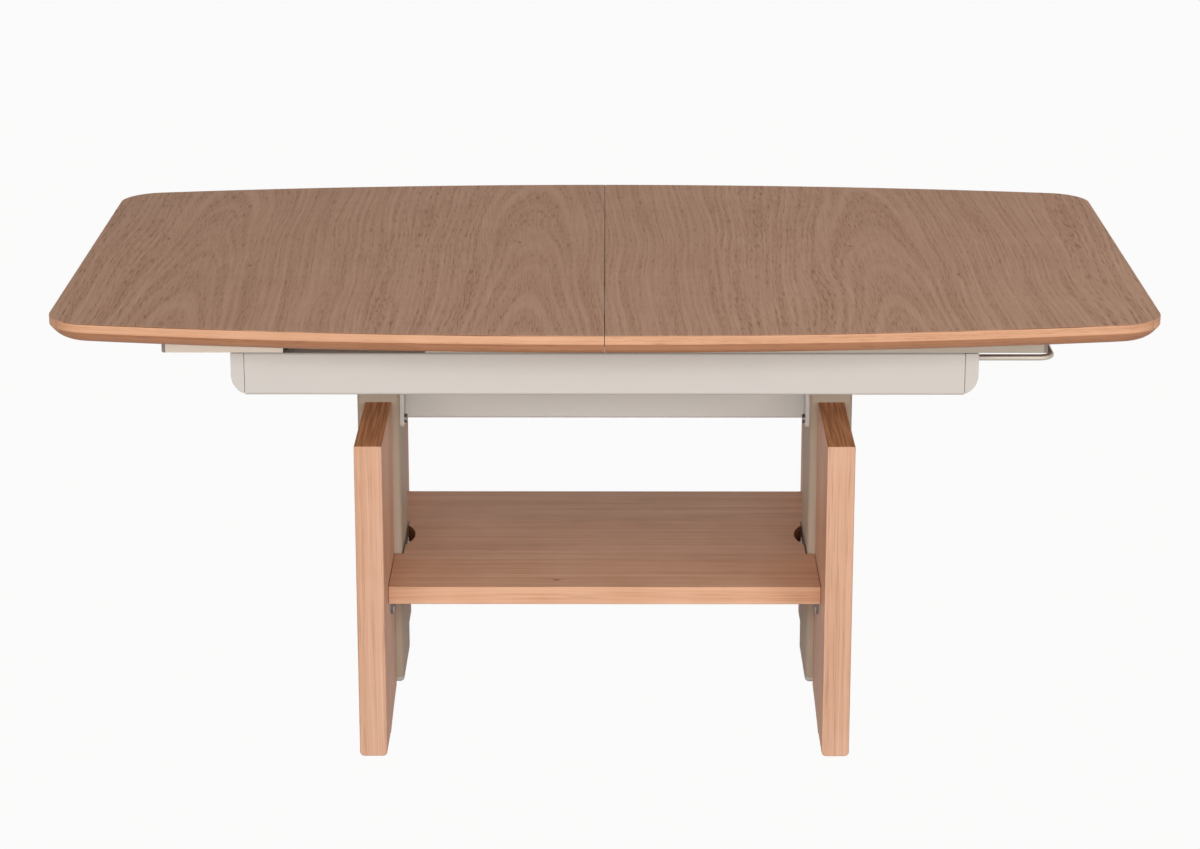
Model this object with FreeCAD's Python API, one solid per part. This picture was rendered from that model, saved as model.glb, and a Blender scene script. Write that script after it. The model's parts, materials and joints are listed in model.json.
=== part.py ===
import FreeCAD, Part
import math
import os

# A coffee table that lifts to dining height and whose two top halves slide apart.
# Sizes in millimetres. +X runs along the table, +Y to its back, +Z up from the floor,
# and the origin is on the floor under the middle of the top.

Vector = FreeCAD.Vector
ORIGIN = Vector(0, 0, 0)
ALONG_X = Vector(1, 0, 0)
ALONG_Y = Vector(0, 1, 0)
ALONG_Z = Vector(0, 0, 1)

# Table top
top_length = 1200.0
top_width = 750.0  # across the middle
side_bow = 55.0  # how far a long side bows out between the ends and the middle
corner_radius = 52.0
table_height = 530.0  # top surface above the floor when lowered
top_thickness = 25.0
veneer_thickness = 1.0
veneer_round = 0.8
band_height = 10.0  # upright band of the edge, veneer included
bevel_inset = 24.0  # how far the bevel below the band draws in
bevel_corner_radius = 28.0  # corner of the bevel's lower edge
bevel_turn_inset = 10.0  # where the bevel turns from steep to flat
bevel_turn_height = 4.0  # of that turn above the underside
lipping_width = 40.0
least_rounding = 2.0  # smallest corner of an outline drawn in from the edge
seam_gap = 0.8
dowel_radius = 5.0
dowel_length = 40.0
dowel_tip = 1.0
dowel_spacing = 250.0

# Runners under the halves, and the travel that they allow each half
half_travel = 240.0
runner_width = 20.0
runner_height = 23.5
runner_wall = 2.5
runner_slot = 8.0
runner_inset = 118.0  # from the end of the top to the end of a runner's cap
runner_pitch = 32.0  # between the outer and inner lines of runners
runner_margin = 35.0  # runner left past its inner glide with the half pulled out
runner_cap = 4.0
support_length = 132.0
relief_depth = 1.0  # groove in a half above the other half's runners
relief_side = 2.0
runner_screw_shares = (0.12, 0.5, 0.88)
support_screw_shares = (0.2, 0.8)

# Glides that stand on the beams inside the runners
glide_length = 60.0
inner_glide_place = 110.0
outer_glide_inset = 42.5  # from the beam's end
glide_screw_share = 0.33  # from the glide's middle, of its length

# Lifting frame
lift_travel = 210.0
frame_inset = 192.5  # from the end of the top to the end of the frame
beam_reach = 264.0  # outer face from the middle plane
beam_height = 47.0
beam_depth = 58.0
beam_wall = 2.0
beam_round = 3.0
beam_cap_length = 15.0
beam_cap_round = 22.0
beam_cap_edge = 1.5
beam_cap_spigot = 12.0
runner_gap = 0.9  # between a beam and the runners above it
head_plate_width = 72.0
head_plate_thickness = 6.0
head_plate_inset = 4.0  # from a beam's web
head_bolt_spacing = 44.0
head_bolt_radius = 4.0
head_bolt_head_radius = 7.0
head_bolt_head_height = 4.0

# Legs
frame_overhang = 145.5  # frame's end past the middle of a leg
board_thickness = 31.0
board_drop = 29.1  # from the column's mouth down to the top of the boards
board_round = 1.5
base_depth = 480.0
foot_length = 65.0
arch_rise = 20.0
foot_glide_radius = 11.0
foot_glide_proud = 0.5
foot_glide_sunk = 3.5
board_screw_shares = (0.18, 0.56, 0.92)

# Outer columns, with the plug at the foot and the guide collar at the mouth
column_width = 49.0
column_depth = 120.0
column_wall = 3.0
column_round = 6.0
column_bottom = 22.0
column_headroom = 33.0  # from the collar up to the beams
plug_flange = 6.0
plug_round = 4.0
plug_depth = 20.0
plug_fit = 0.2
collar_flange = 4.0
collar_depth = 25.0
buffer_height = 4.0

# Inner columns and their sliders
slide_space = 3.0  # between the inner column and the outer column's wall
inner_wall = 2.5
inner_round = 4.0
slider_lip = 4.0
slider_height = 30.0

# Crossbeam between the columns
crossbeam_drop = 11.6  # below the column's mouth
crossbeam_height = 50.0
crossbeam_depth = 30.0
crossbeam_wall = 2.5
crossbeam_round = 3.0
end_plate_thickness = 4.5
end_plate_depth = 104.0
end_plate_margin = 1.0  # above and below the crossbeam
end_plate_round = 5.0
plate_bolt_inset = 9.0
plate_bolt_radius = 3.0
plate_bolt_head_radius = 5.2
plate_bolt_head_height = 3.2

# Shelf and its angle brackets
shelf_top = 183.5
shelf_thickness = 21.0
shelf_depth = 363.0
shelf_end_gap = 0.3  # to the boards
shelf_gap = 1.5  # round the columns
shelf_round = 1.5
hollow_chord = 80.0  # round hollow beside a column
hollow_sag = 11.5
hollow_offset = 8.0
bracket_place = 142.0  # front edge of a bracket from the middle plane
bracket_width = 25.0
bracket_height = 28.0
bracket_length = 32.0
bracket_thickness = 3.0
bracket_round = 8.0
bracket_screw_share = 0.6  # along a bracket's arm from its bend

# Gas springs in the columns
cylinder_radius = 14.0
cylinder_wall = 2.0
cylinder_floor = 4.0
gland_height = 8.0
stud_radius = 5.0
stud_length = 16.0
rod_radius = 5.0
rod_fit = 0.05
piston_height = 15.0
piston_fit = 0.08
piston_start = 20.0  # above the cylinder's floor when lowered
piston_spare = 25.0  # below the gland when raised
shoulder_radius = 8.0
shoulder_height = 8.0
rod_above_plate = 8.4
nut_across_flats = 17.0
nut_height = 8.0

# Release bail and the pin that it presses
bail_radius = 3.5
bail_leg_place = 190.0  # leg from the middle plane
bail_inset = 99.0  # from the end of the top to the bail's outermost point
bail_rise = 14.9  # above the head plate
bail_bend = 15.0
bail_pivot_offset = 28.0  # from the gas spring's axis
pusher_width = 12.0
pusher_height = 5.0
boss_radius = 7.0
boss_length = 9.0
pivot_radius = 3.0
pivot_fit = 0.05
pivot_head_radius = 4.5
pivot_head_height = 1.5
ear_thickness = 2.5
ear_inner = 9.0  # from the pivot towards the column
ear_outer = 13.0
ear_above = 8.0
pin_radius = 2.0
pin_fit = 0.08
pin_length = 20.0
pin_gap = 0.4  # under the pusher
pin_travel = 3.0

# Screws and fits
screw_radius = 2.2
screw_head_radius = 4.2
pan_head_height = 2.4
board_screw_length = 38.0
runner_screw_length = 16.0
glide_screw_length = 14.0
bracket_screw_length = 16.0
hole_fit = 0.1
running_gap = 0.3
overrun = 1.0  # how far a cut runs past a face
wall_share = 0.8  # most of a wall that a rounding may take
parallel_share = 0.999  # of an edge's length that has to run in a direction

# Heights and places that follow from the sizes above
sunk_head_height = screw_head_radius - screw_radius
underside = table_height - top_thickness
runner_bottom = underside - runner_height
beam_top = runner_bottom - runner_gap
beam_bottom = beam_top - beam_height
plate_bottom = beam_bottom + beam_wall
plate_top = plate_bottom + head_plate_thickness
column_top = beam_bottom - column_headroom - collar_flange
board_height = column_top - board_drop
plug_top = column_bottom + plug_flange + plug_depth
slider_bottom = plug_top + buffer_height + running_gap
inner_bottom = slider_bottom + slider_lip
shelf_bottom = shelf_top - shelf_thickness
crossbeam_top = column_top - crossbeam_drop
crossbeam_bottom = crossbeam_top - crossbeam_height
frame_length = top_length - 2 * frame_inset
leg_spacing = frame_length - 2 * frame_overhang
leg_x = leg_spacing / 2
seam_x = seam_gap / 2
board_face = leg_x - board_thickness / 2
column_face = leg_x - column_width / 2
beam_half = frame_length / 2 - beam_cap_length
outer_glide_place = beam_half - outer_glide_inset
runner_reach = top_length / 2 - runner_inset
runner_end = runner_reach - runner_cap
runner_start = inner_glide_place - glide_length / 2 - half_travel - runner_margin
outer_line = beam_reach - runner_width / 2
inner_line = outer_line - runner_pitch
side_radius = ((top_length / 2) ** 2 + side_bow ** 2) / (2 * side_bow)
side_centre = side_radius - top_width / 2
tube_width = column_width - 2 * column_wall
tube_depth = column_depth - 2 * column_wall
tube_round = column_round - column_wall
inner_width = tube_width - 2 * slide_space
inner_depth = tube_depth - 2 * slide_space
bail_z = plate_top + bail_rise
bail_reach = top_length / 2 - bail_inset
pivot_x = leg_x + bail_pivot_offset
rod_top = plate_top + rod_above_plate


def box(x0, y0, z0, x1, y1, z1):
    """Block between two corners."""
    return Part.makeBox(x1 - x0, y1 - y0, z1 - z0, Vector(x0, y0, z0))


def bar(radius, start, end):
    """Round bar from one point to another."""
    return Part.makeCylinder(radius, (end - start).Length, start, end - start)


def edges_along(shape, direction):
    """Straight edges of a shape that run in a direction."""
    found = []
    for edge in shape.Edges:
        run = edge.lastVertex().Point - edge.firstVertex().Point
        if run.Length > 0 and abs(run.dot(direction)) > parallel_share * run.Length:
            found.append(edge)
    return found


def edges_at(edges, axis, place):
    """Those of some edges whose middle lies at a place on an axis."""
    return [edge for edge in edges if abs(edge.CenterOfMass.dot(axis) - place) < hole_fit]


def rounded_bar(centre_x, width, depth, radius, bottom, top):
    """Upright bar of rounded rectangular section, centred on the table's middle plane."""
    block = box(centre_x - width / 2, -depth / 2, bottom, centre_x + width / 2, depth / 2, top)
    return block.makeFillet(radius, edges_along(block, ALONG_Z))


def mirror_x(shape):
    """The same piece on the other side, left for right."""
    return shape.mirror(ORIGIN, ALONG_X)


def mirror_y(shape):
    """The same piece on the other side, front for back."""
    return shape.mirror(ORIGIN, ALONG_Y)


def half_turn(shape):
    """The same piece turned half round about the table's upright axis."""
    turned = shape.copy()
    turned.rotate(ORIGIN, ALONG_Z, 180)
    return turned


def placed(shape, point, direction):
    """A piece made along +Z at the origin, turned to a direction and moved to a point."""
    moved = shape.copy()
    moved.Placement = FreeCAD.Placement(point, FreeCAD.Rotation(ALONG_Z, direction))
    return moved


def sunk_screw(length, fit=0.0):
    """Countersunk screw along +Z, its flat head at the origin; fit makes its hole."""
    cone = Part.makeCone(screw_head_radius + fit, screw_radius + fit, sunk_head_height)
    shank = bar(screw_radius + fit, ORIGIN, Vector(0, 0, length + fit))
    return cone.fuse(shank).removeSplitter()


def headed(radius, length, head_radius, head_height):
    """Bolt or pan-head screw along +Z, its head's bearing face at the origin."""
    head = bar(head_radius, Vector(0, 0, -head_height), ORIGIN)
    return head.fuse(bar(radius, ORIGIN, Vector(0, 0, length)))


def plain_hole(radius, length):
    """Hole for a headed screw or bolt, along +Z from just outside the face."""
    return bar(radius + hole_fit, Vector(0, 0, -overrun), Vector(0, 0, length + hole_fit))


def half_outline(inset, rounding, height):
    """Outline of the right half at a height, drawn in from its outer edges, with rounded corners."""
    radius = side_radius - inset
    end_x = top_length / 2 - inset
    centre_x = end_x - rounding
    centre_reach = math.sqrt((radius - rounding) ** 2 - centre_x ** 2)
    corner_y = centre_reach - side_centre
    lead = radius / (radius - rounding)
    touch = Vector(centre_x * lead, centre_reach * lead - side_centre, height)
    turn = (math.pi / 2 - math.atan2(centre_reach, centre_x)) / 2
    middle_angle = math.pi / 4 - turn
    corner_x = centre_x + rounding * math.cos(middle_angle)
    corner = Vector(corner_x, corner_y + rounding * math.sin(middle_angle), height)

    def side_point(x):
        return Vector(x, math.sqrt(radius ** 2 - x ** 2) - side_centre, height)

    rear = (side_point(seam_x), side_point(touch.x / 2), touch, corner, Vector(end_x, corner_y, height))
    front = [Vector(point.x, -point.y, height) for point in rear]
    edges = [
        Part.Arc(front[0], front[1], front[2]).toShape(),
        Part.Arc(front[2], front[3], front[4]).toShape(),
        Part.LineSegment(front[4], rear[4]).toShape(),
        Part.Arc(rear[4], rear[3], rear[2]).toShape(),
        Part.Arc(rear[2], rear[1], rear[0]).toShape(),
        Part.LineSegment(rear[0], front[0]).toShape(),
    ]
    return Part.Wire(edges)


def half_prism(inset, bottom, top):
    """Prism on the right half's outline."""
    rounding = max(corner_radius - inset, least_rounding)
    return Part.Face(half_outline(inset, rounding, bottom)).extrude(Vector(0, 0, top - bottom))


def runner_screw_places():
    """Where screws hold the right half's runners and support bar, as pairs of X and Y."""
    places = []
    for share in runner_screw_shares:
        along = seam_x + share * (runner_end - seam_x)
        places += [(along, -outer_line), (along, inner_line)]
    for share in support_screw_shares:
        along = runner_reach - support_length + share * (support_length - runner_cap)
        places.append((along, outer_line))
    return places


def runner_screws(fit):
    """Screws up through the runners into the right half, or their holes."""
    screw = sunk_screw(runner_screw_length, fit)
    height = underside - runner_wall
    return [placed(screw, Vector(x, y, height), ALONG_Z) for x, y in runner_screw_places()]


def dowel_places():
    """Points on the seam where the dowels cross it."""
    height = underside + top_thickness / 2
    return [Vector(0, y, height) for y in (-dowel_spacing, 0, dowel_spacing)]


def top_half():
    """Veneer, core and lipping of the right half."""
    veneer_bottom = table_height - veneer_thickness
    band_bottom = table_height - band_height
    veneer = half_prism(0, veneer_bottom, table_height)
    rim = [edge for edge in veneer.Edges if edge.BoundBox.ZMin > veneer_bottom + hole_fit]
    rim = [edge for edge in rim if edge.BoundBox.XMax > seam_x + hole_fit]
    veneer = veneer.makeFillet(min(veneer_round, veneer_thickness * wall_share), rim)
    band = half_prism(0, band_bottom, veneer_bottom)
    lower_edge = half_outline(bevel_inset, bevel_corner_radius, underside)
    turn_corner = max(corner_radius - bevel_turn_inset, least_rounding)
    turn_edge = half_outline(bevel_turn_inset, turn_corner, underside + bevel_turn_height)
    upper_edge = half_outline(0, corner_radius, band_bottom)
    bevel = Part.makeLoft([lower_edge, turn_edge, upper_edge], True, True)
    core = half_prism(lipping_width, underside, veneer_bottom)
    lipping = band.fuse(bevel).removeSplitter().cut(core)
    cuts = runner_screws(hole_fit)
    for point in dowel_places():
        deep = Vector(dowel_length / 2 + dowel_tip, 0, 0)
        cuts.append(bar(dowel_radius + hole_fit, point, point + deep))
    groove = runner_width / 2 + relief_side
    for line in (outer_line, -inner_line):
        cuts.append(
            box(
                0,
                line - groove,
                underside - overrun,
                -runner_start + relief_side,
                line + groove,
                underside + relief_depth,
            )
        )
    return {"veneer": veneer, "core": core.cut(cuts), "lipping": lipping.cut(cuts)}


def alignment_dowels():
    """Dowels glued into the left half and free in the right."""
    dowels = []
    for point in dowel_places():
        reach = Vector(dowel_length / 2, 0, 0)
        body = bar(dowel_radius, point - reach, point + reach)
        ends = [edge for edge in body.Edges if len(edge.Vertexes) == 1]
        dowels.append(body.makeChamfer(dowel_tip, ends))
    return Part.makeCompound(dowels)


def runner(start, line):
    """Slotted runner of the right half from a start to the cap, centred on a line."""
    half = runner_width / 2
    profile = box(start, line - half, runner_bottom, runner_end, line + half, underside)
    cavity = box(
        start - overrun,
        line - half + runner_wall,
        runner_bottom + runner_wall,
        runner_end + overrun,
        line + half - runner_wall,
        underside - runner_wall,
    )
    slot = box(
        start - overrun,
        line - runner_slot / 2,
        runner_bottom - overrun,
        runner_end + overrun,
        line + runner_slot / 2,
        runner_bottom + runner_wall + overrun,
    )
    return profile.cut([cavity, slot] + runner_screws(hole_fit))


def runner_caps():
    """End caps of the right half's runners and support bar."""
    half = runner_width / 2
    caps = []
    for line in (-outer_line, inner_line, outer_line):
        cap = box(runner_end, line - half, runner_bottom, runner_reach, line + half, underside)
        rim = edges_at(edges_along(cap, ALONG_Y), ALONG_X, runner_reach)
        rim = edges_at(rim, ALONG_Z, runner_bottom)
        caps.append(cap.makeFillet(runner_cap / 2, rim))
    return Part.makeCompound(caps)


def right_glide_places():
    """Middle of each glide for the right half, as pairs of X and Y."""
    rows = (inner_glide_place, outer_glide_place)
    return [(x, y) for x in rows for y in (-outer_line, inner_line)]


def glide_screw_places():
    """Where screws hold the right half's glides, as pairs of X and Y."""
    reach = glide_screw_share * glide_length
    return [(x + side * reach, y) for x, y in right_glide_places() for side in (-1, 1)]


def glide_screw_set(shape):
    """A shape at each glide screw of both halves, pointing up from under the beams' top flanges."""
    height = beam_top - beam_wall
    right = [placed(shape, Vector(x, y, height), ALONG_Z) for x, y in glide_screw_places()]
    return right + [half_turn(item) for item in right]


def glides():
    """The four glides that guide the right half."""
    neck = runner_slot / 2 - running_gap
    head = runner_width / 2 - runner_wall - running_gap
    head_bottom = runner_bottom + runner_wall + running_gap
    head_top = underside - runner_wall - running_gap
    holes = glide_screw_set(plain_hole(screw_radius, glide_screw_length))
    pieces = []
    for x, y in right_glide_places():
        start = x - glide_length / 2
        end = x + glide_length / 2
        stem = box(start, y - neck, beam_top, end, y + neck, head_bottom)
        shoe = box(start, y - head, head_bottom, end, y + head, head_top)
        pieces.append(stem.fuse(shoe).removeSplitter().cut(holes))
    return Part.makeCompound(pieces)


def head_bolt_set(shape):
    """A shape at each bolt that holds a head plate, pointing up from under the beams."""
    line = beam_reach - beam_depth / 2
    items = []
    for x in (-leg_x, leg_x):
        for step in (-head_bolt_spacing / 2, head_bolt_spacing / 2):
            for y in (-line, line):
                items.append(placed(shape, Vector(x + step, y, beam_bottom), ALONG_Z))
    return items


def front_beam():
    """Folded channel, open towards the middle of the table."""
    inward = beam_depth - beam_reach
    channel = box(-beam_half, -beam_reach, beam_bottom, beam_half, inward, beam_top)
    folds = edges_at(edges_along(channel, ALONG_X), ALONG_Y, -beam_reach)
    channel = channel.makeFillet(beam_round, folds)
    hollow = box(
        -beam_half - overrun,
        -beam_reach + beam_wall,
        beam_bottom + beam_wall,
        beam_half + overrun,
        inward + overrun,
        beam_top - beam_wall,
    )
    bolt_holes = head_bolt_set(plain_hole(head_bolt_radius, beam_wall + head_plate_thickness))
    screw_holes = glide_screw_set(plain_hole(screw_radius, glide_screw_length))
    return channel.cut([hollow] + bolt_holes + screw_holes)


def front_right_beam_cap():
    """Moulded cap with a rounded lower corner and a spigot in the beam's end."""
    inward = beam_depth - beam_reach
    end = frame_length / 2
    blank = box(beam_half - beam_cap_round, -beam_reach, beam_bottom, end, inward, beam_top)
    corner = edges_at(edges_at(edges_along(blank, ALONG_Y), ALONG_X, end), ALONG_Z, beam_bottom)
    blank = blank.makeFillet(beam_cap_round, corner)
    folds = edges_at(edges_along(blank, ALONG_X), ALONG_Y, -beam_reach)
    blank = blank.makeFillet(min(beam_cap_edge, beam_round), folds)
    cover = blank.common(box(beam_half, -beam_reach, beam_bottom, end, inward, beam_top))
    margin = beam_wall + plug_fit
    spigot = box(
        beam_half - beam_cap_spigot,
        -beam_reach + margin,
        beam_bottom + margin,
        beam_half,
        inward,
        beam_top - margin,
    )
    return cover.fuse(spigot)


def right_head_plate():
    """Plate that ties the two beams together over the right column."""
    reach = beam_reach - beam_wall - head_plate_inset
    half = head_plate_width / 2
    plate = box(leg_x - half, -reach, plate_bottom, leg_x + half, reach, plate_top)
    rod_hole = plain_hole(rod_radius, head_plate_thickness + overrun)
    rod_hole = placed(rod_hole, Vector(leg_x, 0, plate_bottom), ALONG_Z)
    bolt_holes = head_bolt_set(plain_hole(head_bolt_radius, beam_wall + head_plate_thickness))
    return plate.cut([rod_hole] + bolt_holes)


def board_screw_set(shape):
    """A shape at each screw of the right leg's front board, pointing forward out of the column."""
    start = -column_depth / 2 + column_wall
    items = []
    for share in board_screw_shares:
        height = foot_glide_proud + share * (board_height - foot_glide_proud)
        items.append(placed(shape, Vector(leg_x, start, height), -ALONG_Y))
    return items


def right_front_board():
    """Board with a flat foot and half of the leg's arch."""
    front = -base_depth / 2
    back = -column_depth / 2
    half = board_thickness / 2
    board = box(leg_x - half, front, foot_glide_proud, leg_x + half, back, board_height)
    corners = edges_at(edges_along(board, ALONG_Z), ALONG_Y, front)
    board = board.makeFillet(board_round, corners)
    half_span = base_depth / 2 - foot_length
    arch_radius = (half_span ** 2 + arch_rise ** 2) / (2 * arch_rise)
    centre = Vector(leg_x, 0, foot_glide_proud + arch_rise - arch_radius)
    across = Vector(half + overrun, 0, 0)
    arch = bar(arch_radius, centre - across, centre + across)
    seat = Vector(leg_x, front + foot_length / 2, foot_glide_proud)
    pocket = placed(plain_hole(foot_glide_radius, foot_glide_sunk), seat, ALONG_Z)
    holes = board_screw_set(sunk_screw(board_screw_length, hole_fit))
    return board.cut([arch, pocket] + holes)


def foot_glides():
    """Round glides let into the four feet."""
    glide = bar(foot_glide_radius, ORIGIN, Vector(0, 0, foot_glide_proud + foot_glide_sunk))
    line = base_depth / 2 - foot_length / 2
    spots = [Vector(x, y, 0) for x in (-leg_x, leg_x) for y in (-line, line)]
    return Part.makeCompound([placed(glide, spot, ALONG_Z) for spot in spots])


def plate_bolt_set(shape):
    """A shape at each bolt of the crossbeam's right end plate, pointing out into the column."""
    across = end_plate_depth / 2 - plate_bolt_inset
    low = crossbeam_bottom - end_plate_margin + plate_bolt_inset
    high = crossbeam_top + end_plate_margin - plate_bolt_inset
    face = column_face - end_plate_thickness
    spots = [Vector(face, y, z) for y in (-across, across) for z in (low, high)]
    return [placed(shape, spot, ALONG_X) for spot in spots]


def right_column():
    """Outer tube of the right leg, drilled for the boards and the crossbeam."""
    bottom = column_bottom + plug_flange
    tube = rounded_bar(leg_x, column_width, column_depth, column_round, bottom, column_top)
    mouth = column_top + overrun
    bore = rounded_bar(leg_x, tube_width, tube_depth, tube_round, bottom - overrun, mouth)
    board_holes = board_screw_set(sunk_screw(board_screw_length, hole_fit))
    bolt_holes = plate_bolt_set(plain_hole(plate_bolt_radius, end_plate_thickness + column_wall))
    return tube.cut([bore] + board_holes + [mirror_y(hole) for hole in board_holes] + bolt_holes)


def right_column_plug():
    """Plug with rounded lower edges that closes the column and seats the gas spring."""
    shoulder = column_bottom + plug_flange
    flange = rounded_bar(leg_x, column_width, column_depth, column_round, column_bottom, shoulder)
    rim = [edge for edge in flange.Edges if edge.BoundBox.ZMax < column_bottom + hole_fit]
    flange = flange.makeFillet(min(plug_round, plug_flange * wall_share), rim)
    spigot = rounded_bar(
        leg_x,
        tube_width - 2 * plug_fit,
        tube_depth - 2 * plug_fit,
        tube_round,
        shoulder,
        plug_top,
    )
    socket_floor = Vector(leg_x, 0, plug_top - stud_length)
    socket = bar(stud_radius + hole_fit, socket_floor, Vector(leg_x, 0, plug_top + overrun))
    return flange.fuse(spigot).cut(socket)


def right_stop_buffer():
    """Rubber pad on the plug that the lowered inner column comes down on."""
    pad = rounded_bar(
        leg_x,
        tube_width - slide_space,
        tube_depth - slide_space,
        tube_round,
        plug_top,
        plug_top + buffer_height,
    )
    hole = bar(
        cylinder_radius + running_gap,
        Vector(leg_x, 0, plug_top - overrun),
        Vector(leg_x, 0, plug_top + buffer_height + overrun),
    )
    return pad.cut(hole)


def right_guide_collar():
    """Moulded collar in the column's mouth that guides the inner column."""
    flange_top = column_top + collar_flange
    spigot_bottom = column_top - collar_depth
    flange = rounded_bar(leg_x, column_width, column_depth, column_round, column_top, flange_top)
    spigot = rounded_bar(
        leg_x,
        tube_width - 2 * plug_fit,
        tube_depth - 2 * plug_fit,
        tube_round,
        spigot_bottom,
        column_top,
    )
    opening = rounded_bar(
        leg_x,
        inner_width + 2 * running_gap,
        inner_depth + 2 * running_gap,
        inner_round,
        spigot_bottom - overrun,
        flange_top + overrun,
    )
    return flange.fuse(spigot).cut(opening)


def right_inner_column():
    """Inner tube that carries the lifting frame."""
    tube = rounded_bar(leg_x, inner_width, inner_depth, inner_round, inner_bottom, plate_bottom)
    hollow = rounded_bar(
        leg_x,
        inner_width - 2 * inner_wall,
        inner_depth - 2 * inner_wall,
        inner_round - inner_wall,
        inner_bottom - overrun,
        plate_bottom + overrun,
    )
    return tube.cut(hollow)


def right_slider():
    """Moulded shoe round the lower end of the inner column."""
    shoe = rounded_bar(
        leg_x,
        tube_width - 2 * running_gap,
        tube_depth - 2 * running_gap,
        tube_round,
        slider_bottom,
        slider_bottom + slider_height,
    )
    seat = rounded_bar(
        leg_x,
        inner_width + 2 * hole_fit,
        inner_depth + 2 * hole_fit,
        inner_round,
        inner_bottom,
        slider_bottom + slider_height + overrun,
    )
    mouth = rounded_bar(
        leg_x,
        inner_width - 2 * inner_wall,
        inner_depth - 2 * inner_wall,
        inner_round - inner_wall,
        slider_bottom - overrun,
        inner_bottom + overrun,
    )
    return shoe.cut([seat, mouth])


def crossbeam():
    """Tube between the columns with a welded plate on each end."""
    face = column_face - end_plate_thickness
    half = crossbeam_depth / 2
    tube = box(-face, -half, crossbeam_bottom, face, half, crossbeam_top)
    tube = tube.makeFillet(crossbeam_round, edges_along(tube, ALONG_X))
    hollow = box(
        -face,
        -half + crossbeam_wall,
        crossbeam_bottom + crossbeam_wall,
        face,
        half - crossbeam_wall,
        crossbeam_top - crossbeam_wall,
    )
    plate = box(
        face,
        -end_plate_depth / 2,
        crossbeam_bottom - end_plate_margin,
        column_face,
        end_plate_depth / 2,
        crossbeam_top + end_plate_margin,
    )
    plate = plate.makeFillet(end_plate_round, edges_along(plate, ALONG_X))
    plate = plate.cut(plate_bolt_set(plain_hole(plate_bolt_radius, end_plate_thickness + column_wall)))
    return tube.cut(hollow).fuse([plate, mirror_x(plate)])


def shelf():
    """Shelf notched round the columns, with a round hollow beside each."""
    half_length = board_face - shelf_end_gap
    half_depth = shelf_depth / 2
    panel = box(-half_length, -half_depth, shelf_bottom, half_length, half_depth, shelf_top)
    panel = panel.makeFillet(shelf_round, edges_along(panel, ALONG_X))
    notch = box(
        column_face - shelf_gap,
        -column_depth / 2 - shelf_gap,
        shelf_bottom - overrun,
        half_length + overrun,
        column_depth / 2 + shelf_gap,
        shelf_top + overrun,
    )
    hollow_radius = ((hollow_chord / 2) ** 2 + hollow_sag ** 2) / (2 * hollow_sag)
    hollow_x = column_face - hollow_sag + hollow_radius
    hollow = bar(
        hollow_radius,
        Vector(hollow_x, hollow_offset, shelf_bottom - overrun),
        Vector(hollow_x, hollow_offset, shelf_top + overrun),
    )
    cuts = [notch, hollow] + shelf_screw_set(plain_hole(screw_radius, bracket_screw_length))
    return panel.cut(cuts + [mirror_x(cut) for cut in cuts])


def bracket_middle():
    """Distance of a bracket's middle from the table's middle plane."""
    return bracket_place - bracket_width / 2


def shelf_screw_set(shape):
    """A shape at each right bracket's screw into the shelf, pointing up."""
    x = board_face - bracket_screw_share * bracket_length
    height = shelf_bottom - bracket_thickness
    return [placed(shape, Vector(x, y, height), ALONG_Z) for y in (-bracket_middle(), bracket_middle())]


def bracket_board_screw_set(shape):
    """A shape at each right bracket's screw into its board, pointing out."""
    x = board_face - bracket_thickness
    height = shelf_bottom - bracket_screw_share * bracket_height
    return [placed(shape, Vector(x, y, height), ALONG_X) for y in (-bracket_middle(), bracket_middle())]


def right_brackets():
    """Angle brackets between the shelf and the right leg's boards."""
    front = -bracket_place
    back = front + bracket_width
    low = shelf_bottom - bracket_height
    upright = box(board_face - bracket_thickness, front, low, board_face, back, shelf_bottom)
    corners = edges_at(edges_along(upright, ALONG_X), ALONG_Z, low)
    upright = upright.makeFillet(bracket_round, corners)
    arm = box(
        board_face - bracket_length,
        front,
        shelf_bottom - bracket_thickness,
        board_face,
        back,
        shelf_bottom,
    )
    ends = edges_at(edges_along(arm, ALONG_Z), ALONG_X, board_face - bracket_length)
    arm = arm.makeFillet(bracket_round, ends)
    hole = plain_hole(screw_radius, bracket_screw_length)
    angle = upright.fuse(arm).removeSplitter().cut(shelf_screw_set(hole) + bracket_board_screw_set(hole))
    return [angle, mirror_y(angle)]


def right_gas_cylinder():
    """Gas spring cylinder that stands on the plug."""
    top = plug_top + cylinder_length()
    axis_point = Vector(leg_x, 0, plug_top)
    body = bar(cylinder_radius, axis_point, Vector(leg_x, 0, top))
    stud = bar(stud_radius, Vector(leg_x, 0, plug_top - stud_length), axis_point)
    floor = Vector(leg_x, 0, plug_top + cylinder_floor)
    bore = bar(cylinder_radius - cylinder_wall, floor, Vector(leg_x, 0, top - gland_height))
    mouth = bar(rod_radius + rod_fit, floor, Vector(leg_x, 0, top + overrun))
    return body.fuse(stud).cut([bore, mouth])


def cylinder_length():
    """Length that leaves the piston its whole travel."""
    return cylinder_floor + piston_start + piston_height + lift_travel + piston_spare + gland_height


def gas_rod(x):
    """Rod with its piston, and a shoulder under the head plate."""
    piston_bottom = plug_top + cylinder_floor + piston_start
    stem = bar(rod_radius, Vector(x, 0, piston_bottom), Vector(x, 0, rod_top))
    piston = bar(
        cylinder_radius - cylinder_wall - piston_fit,
        Vector(x, 0, piston_bottom),
        Vector(x, 0, piston_bottom + piston_height),
    )
    shoulder = bar(shoulder_radius, Vector(x, 0, plate_bottom - shoulder_height), Vector(x, 0, plate_bottom))
    return stem.fuse([piston, shoulder])


def pin_span():
    """Lower and upper end of the release pin."""
    top = bail_z - pusher_height / 2 - pin_gap
    return top - pin_length, top


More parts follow.
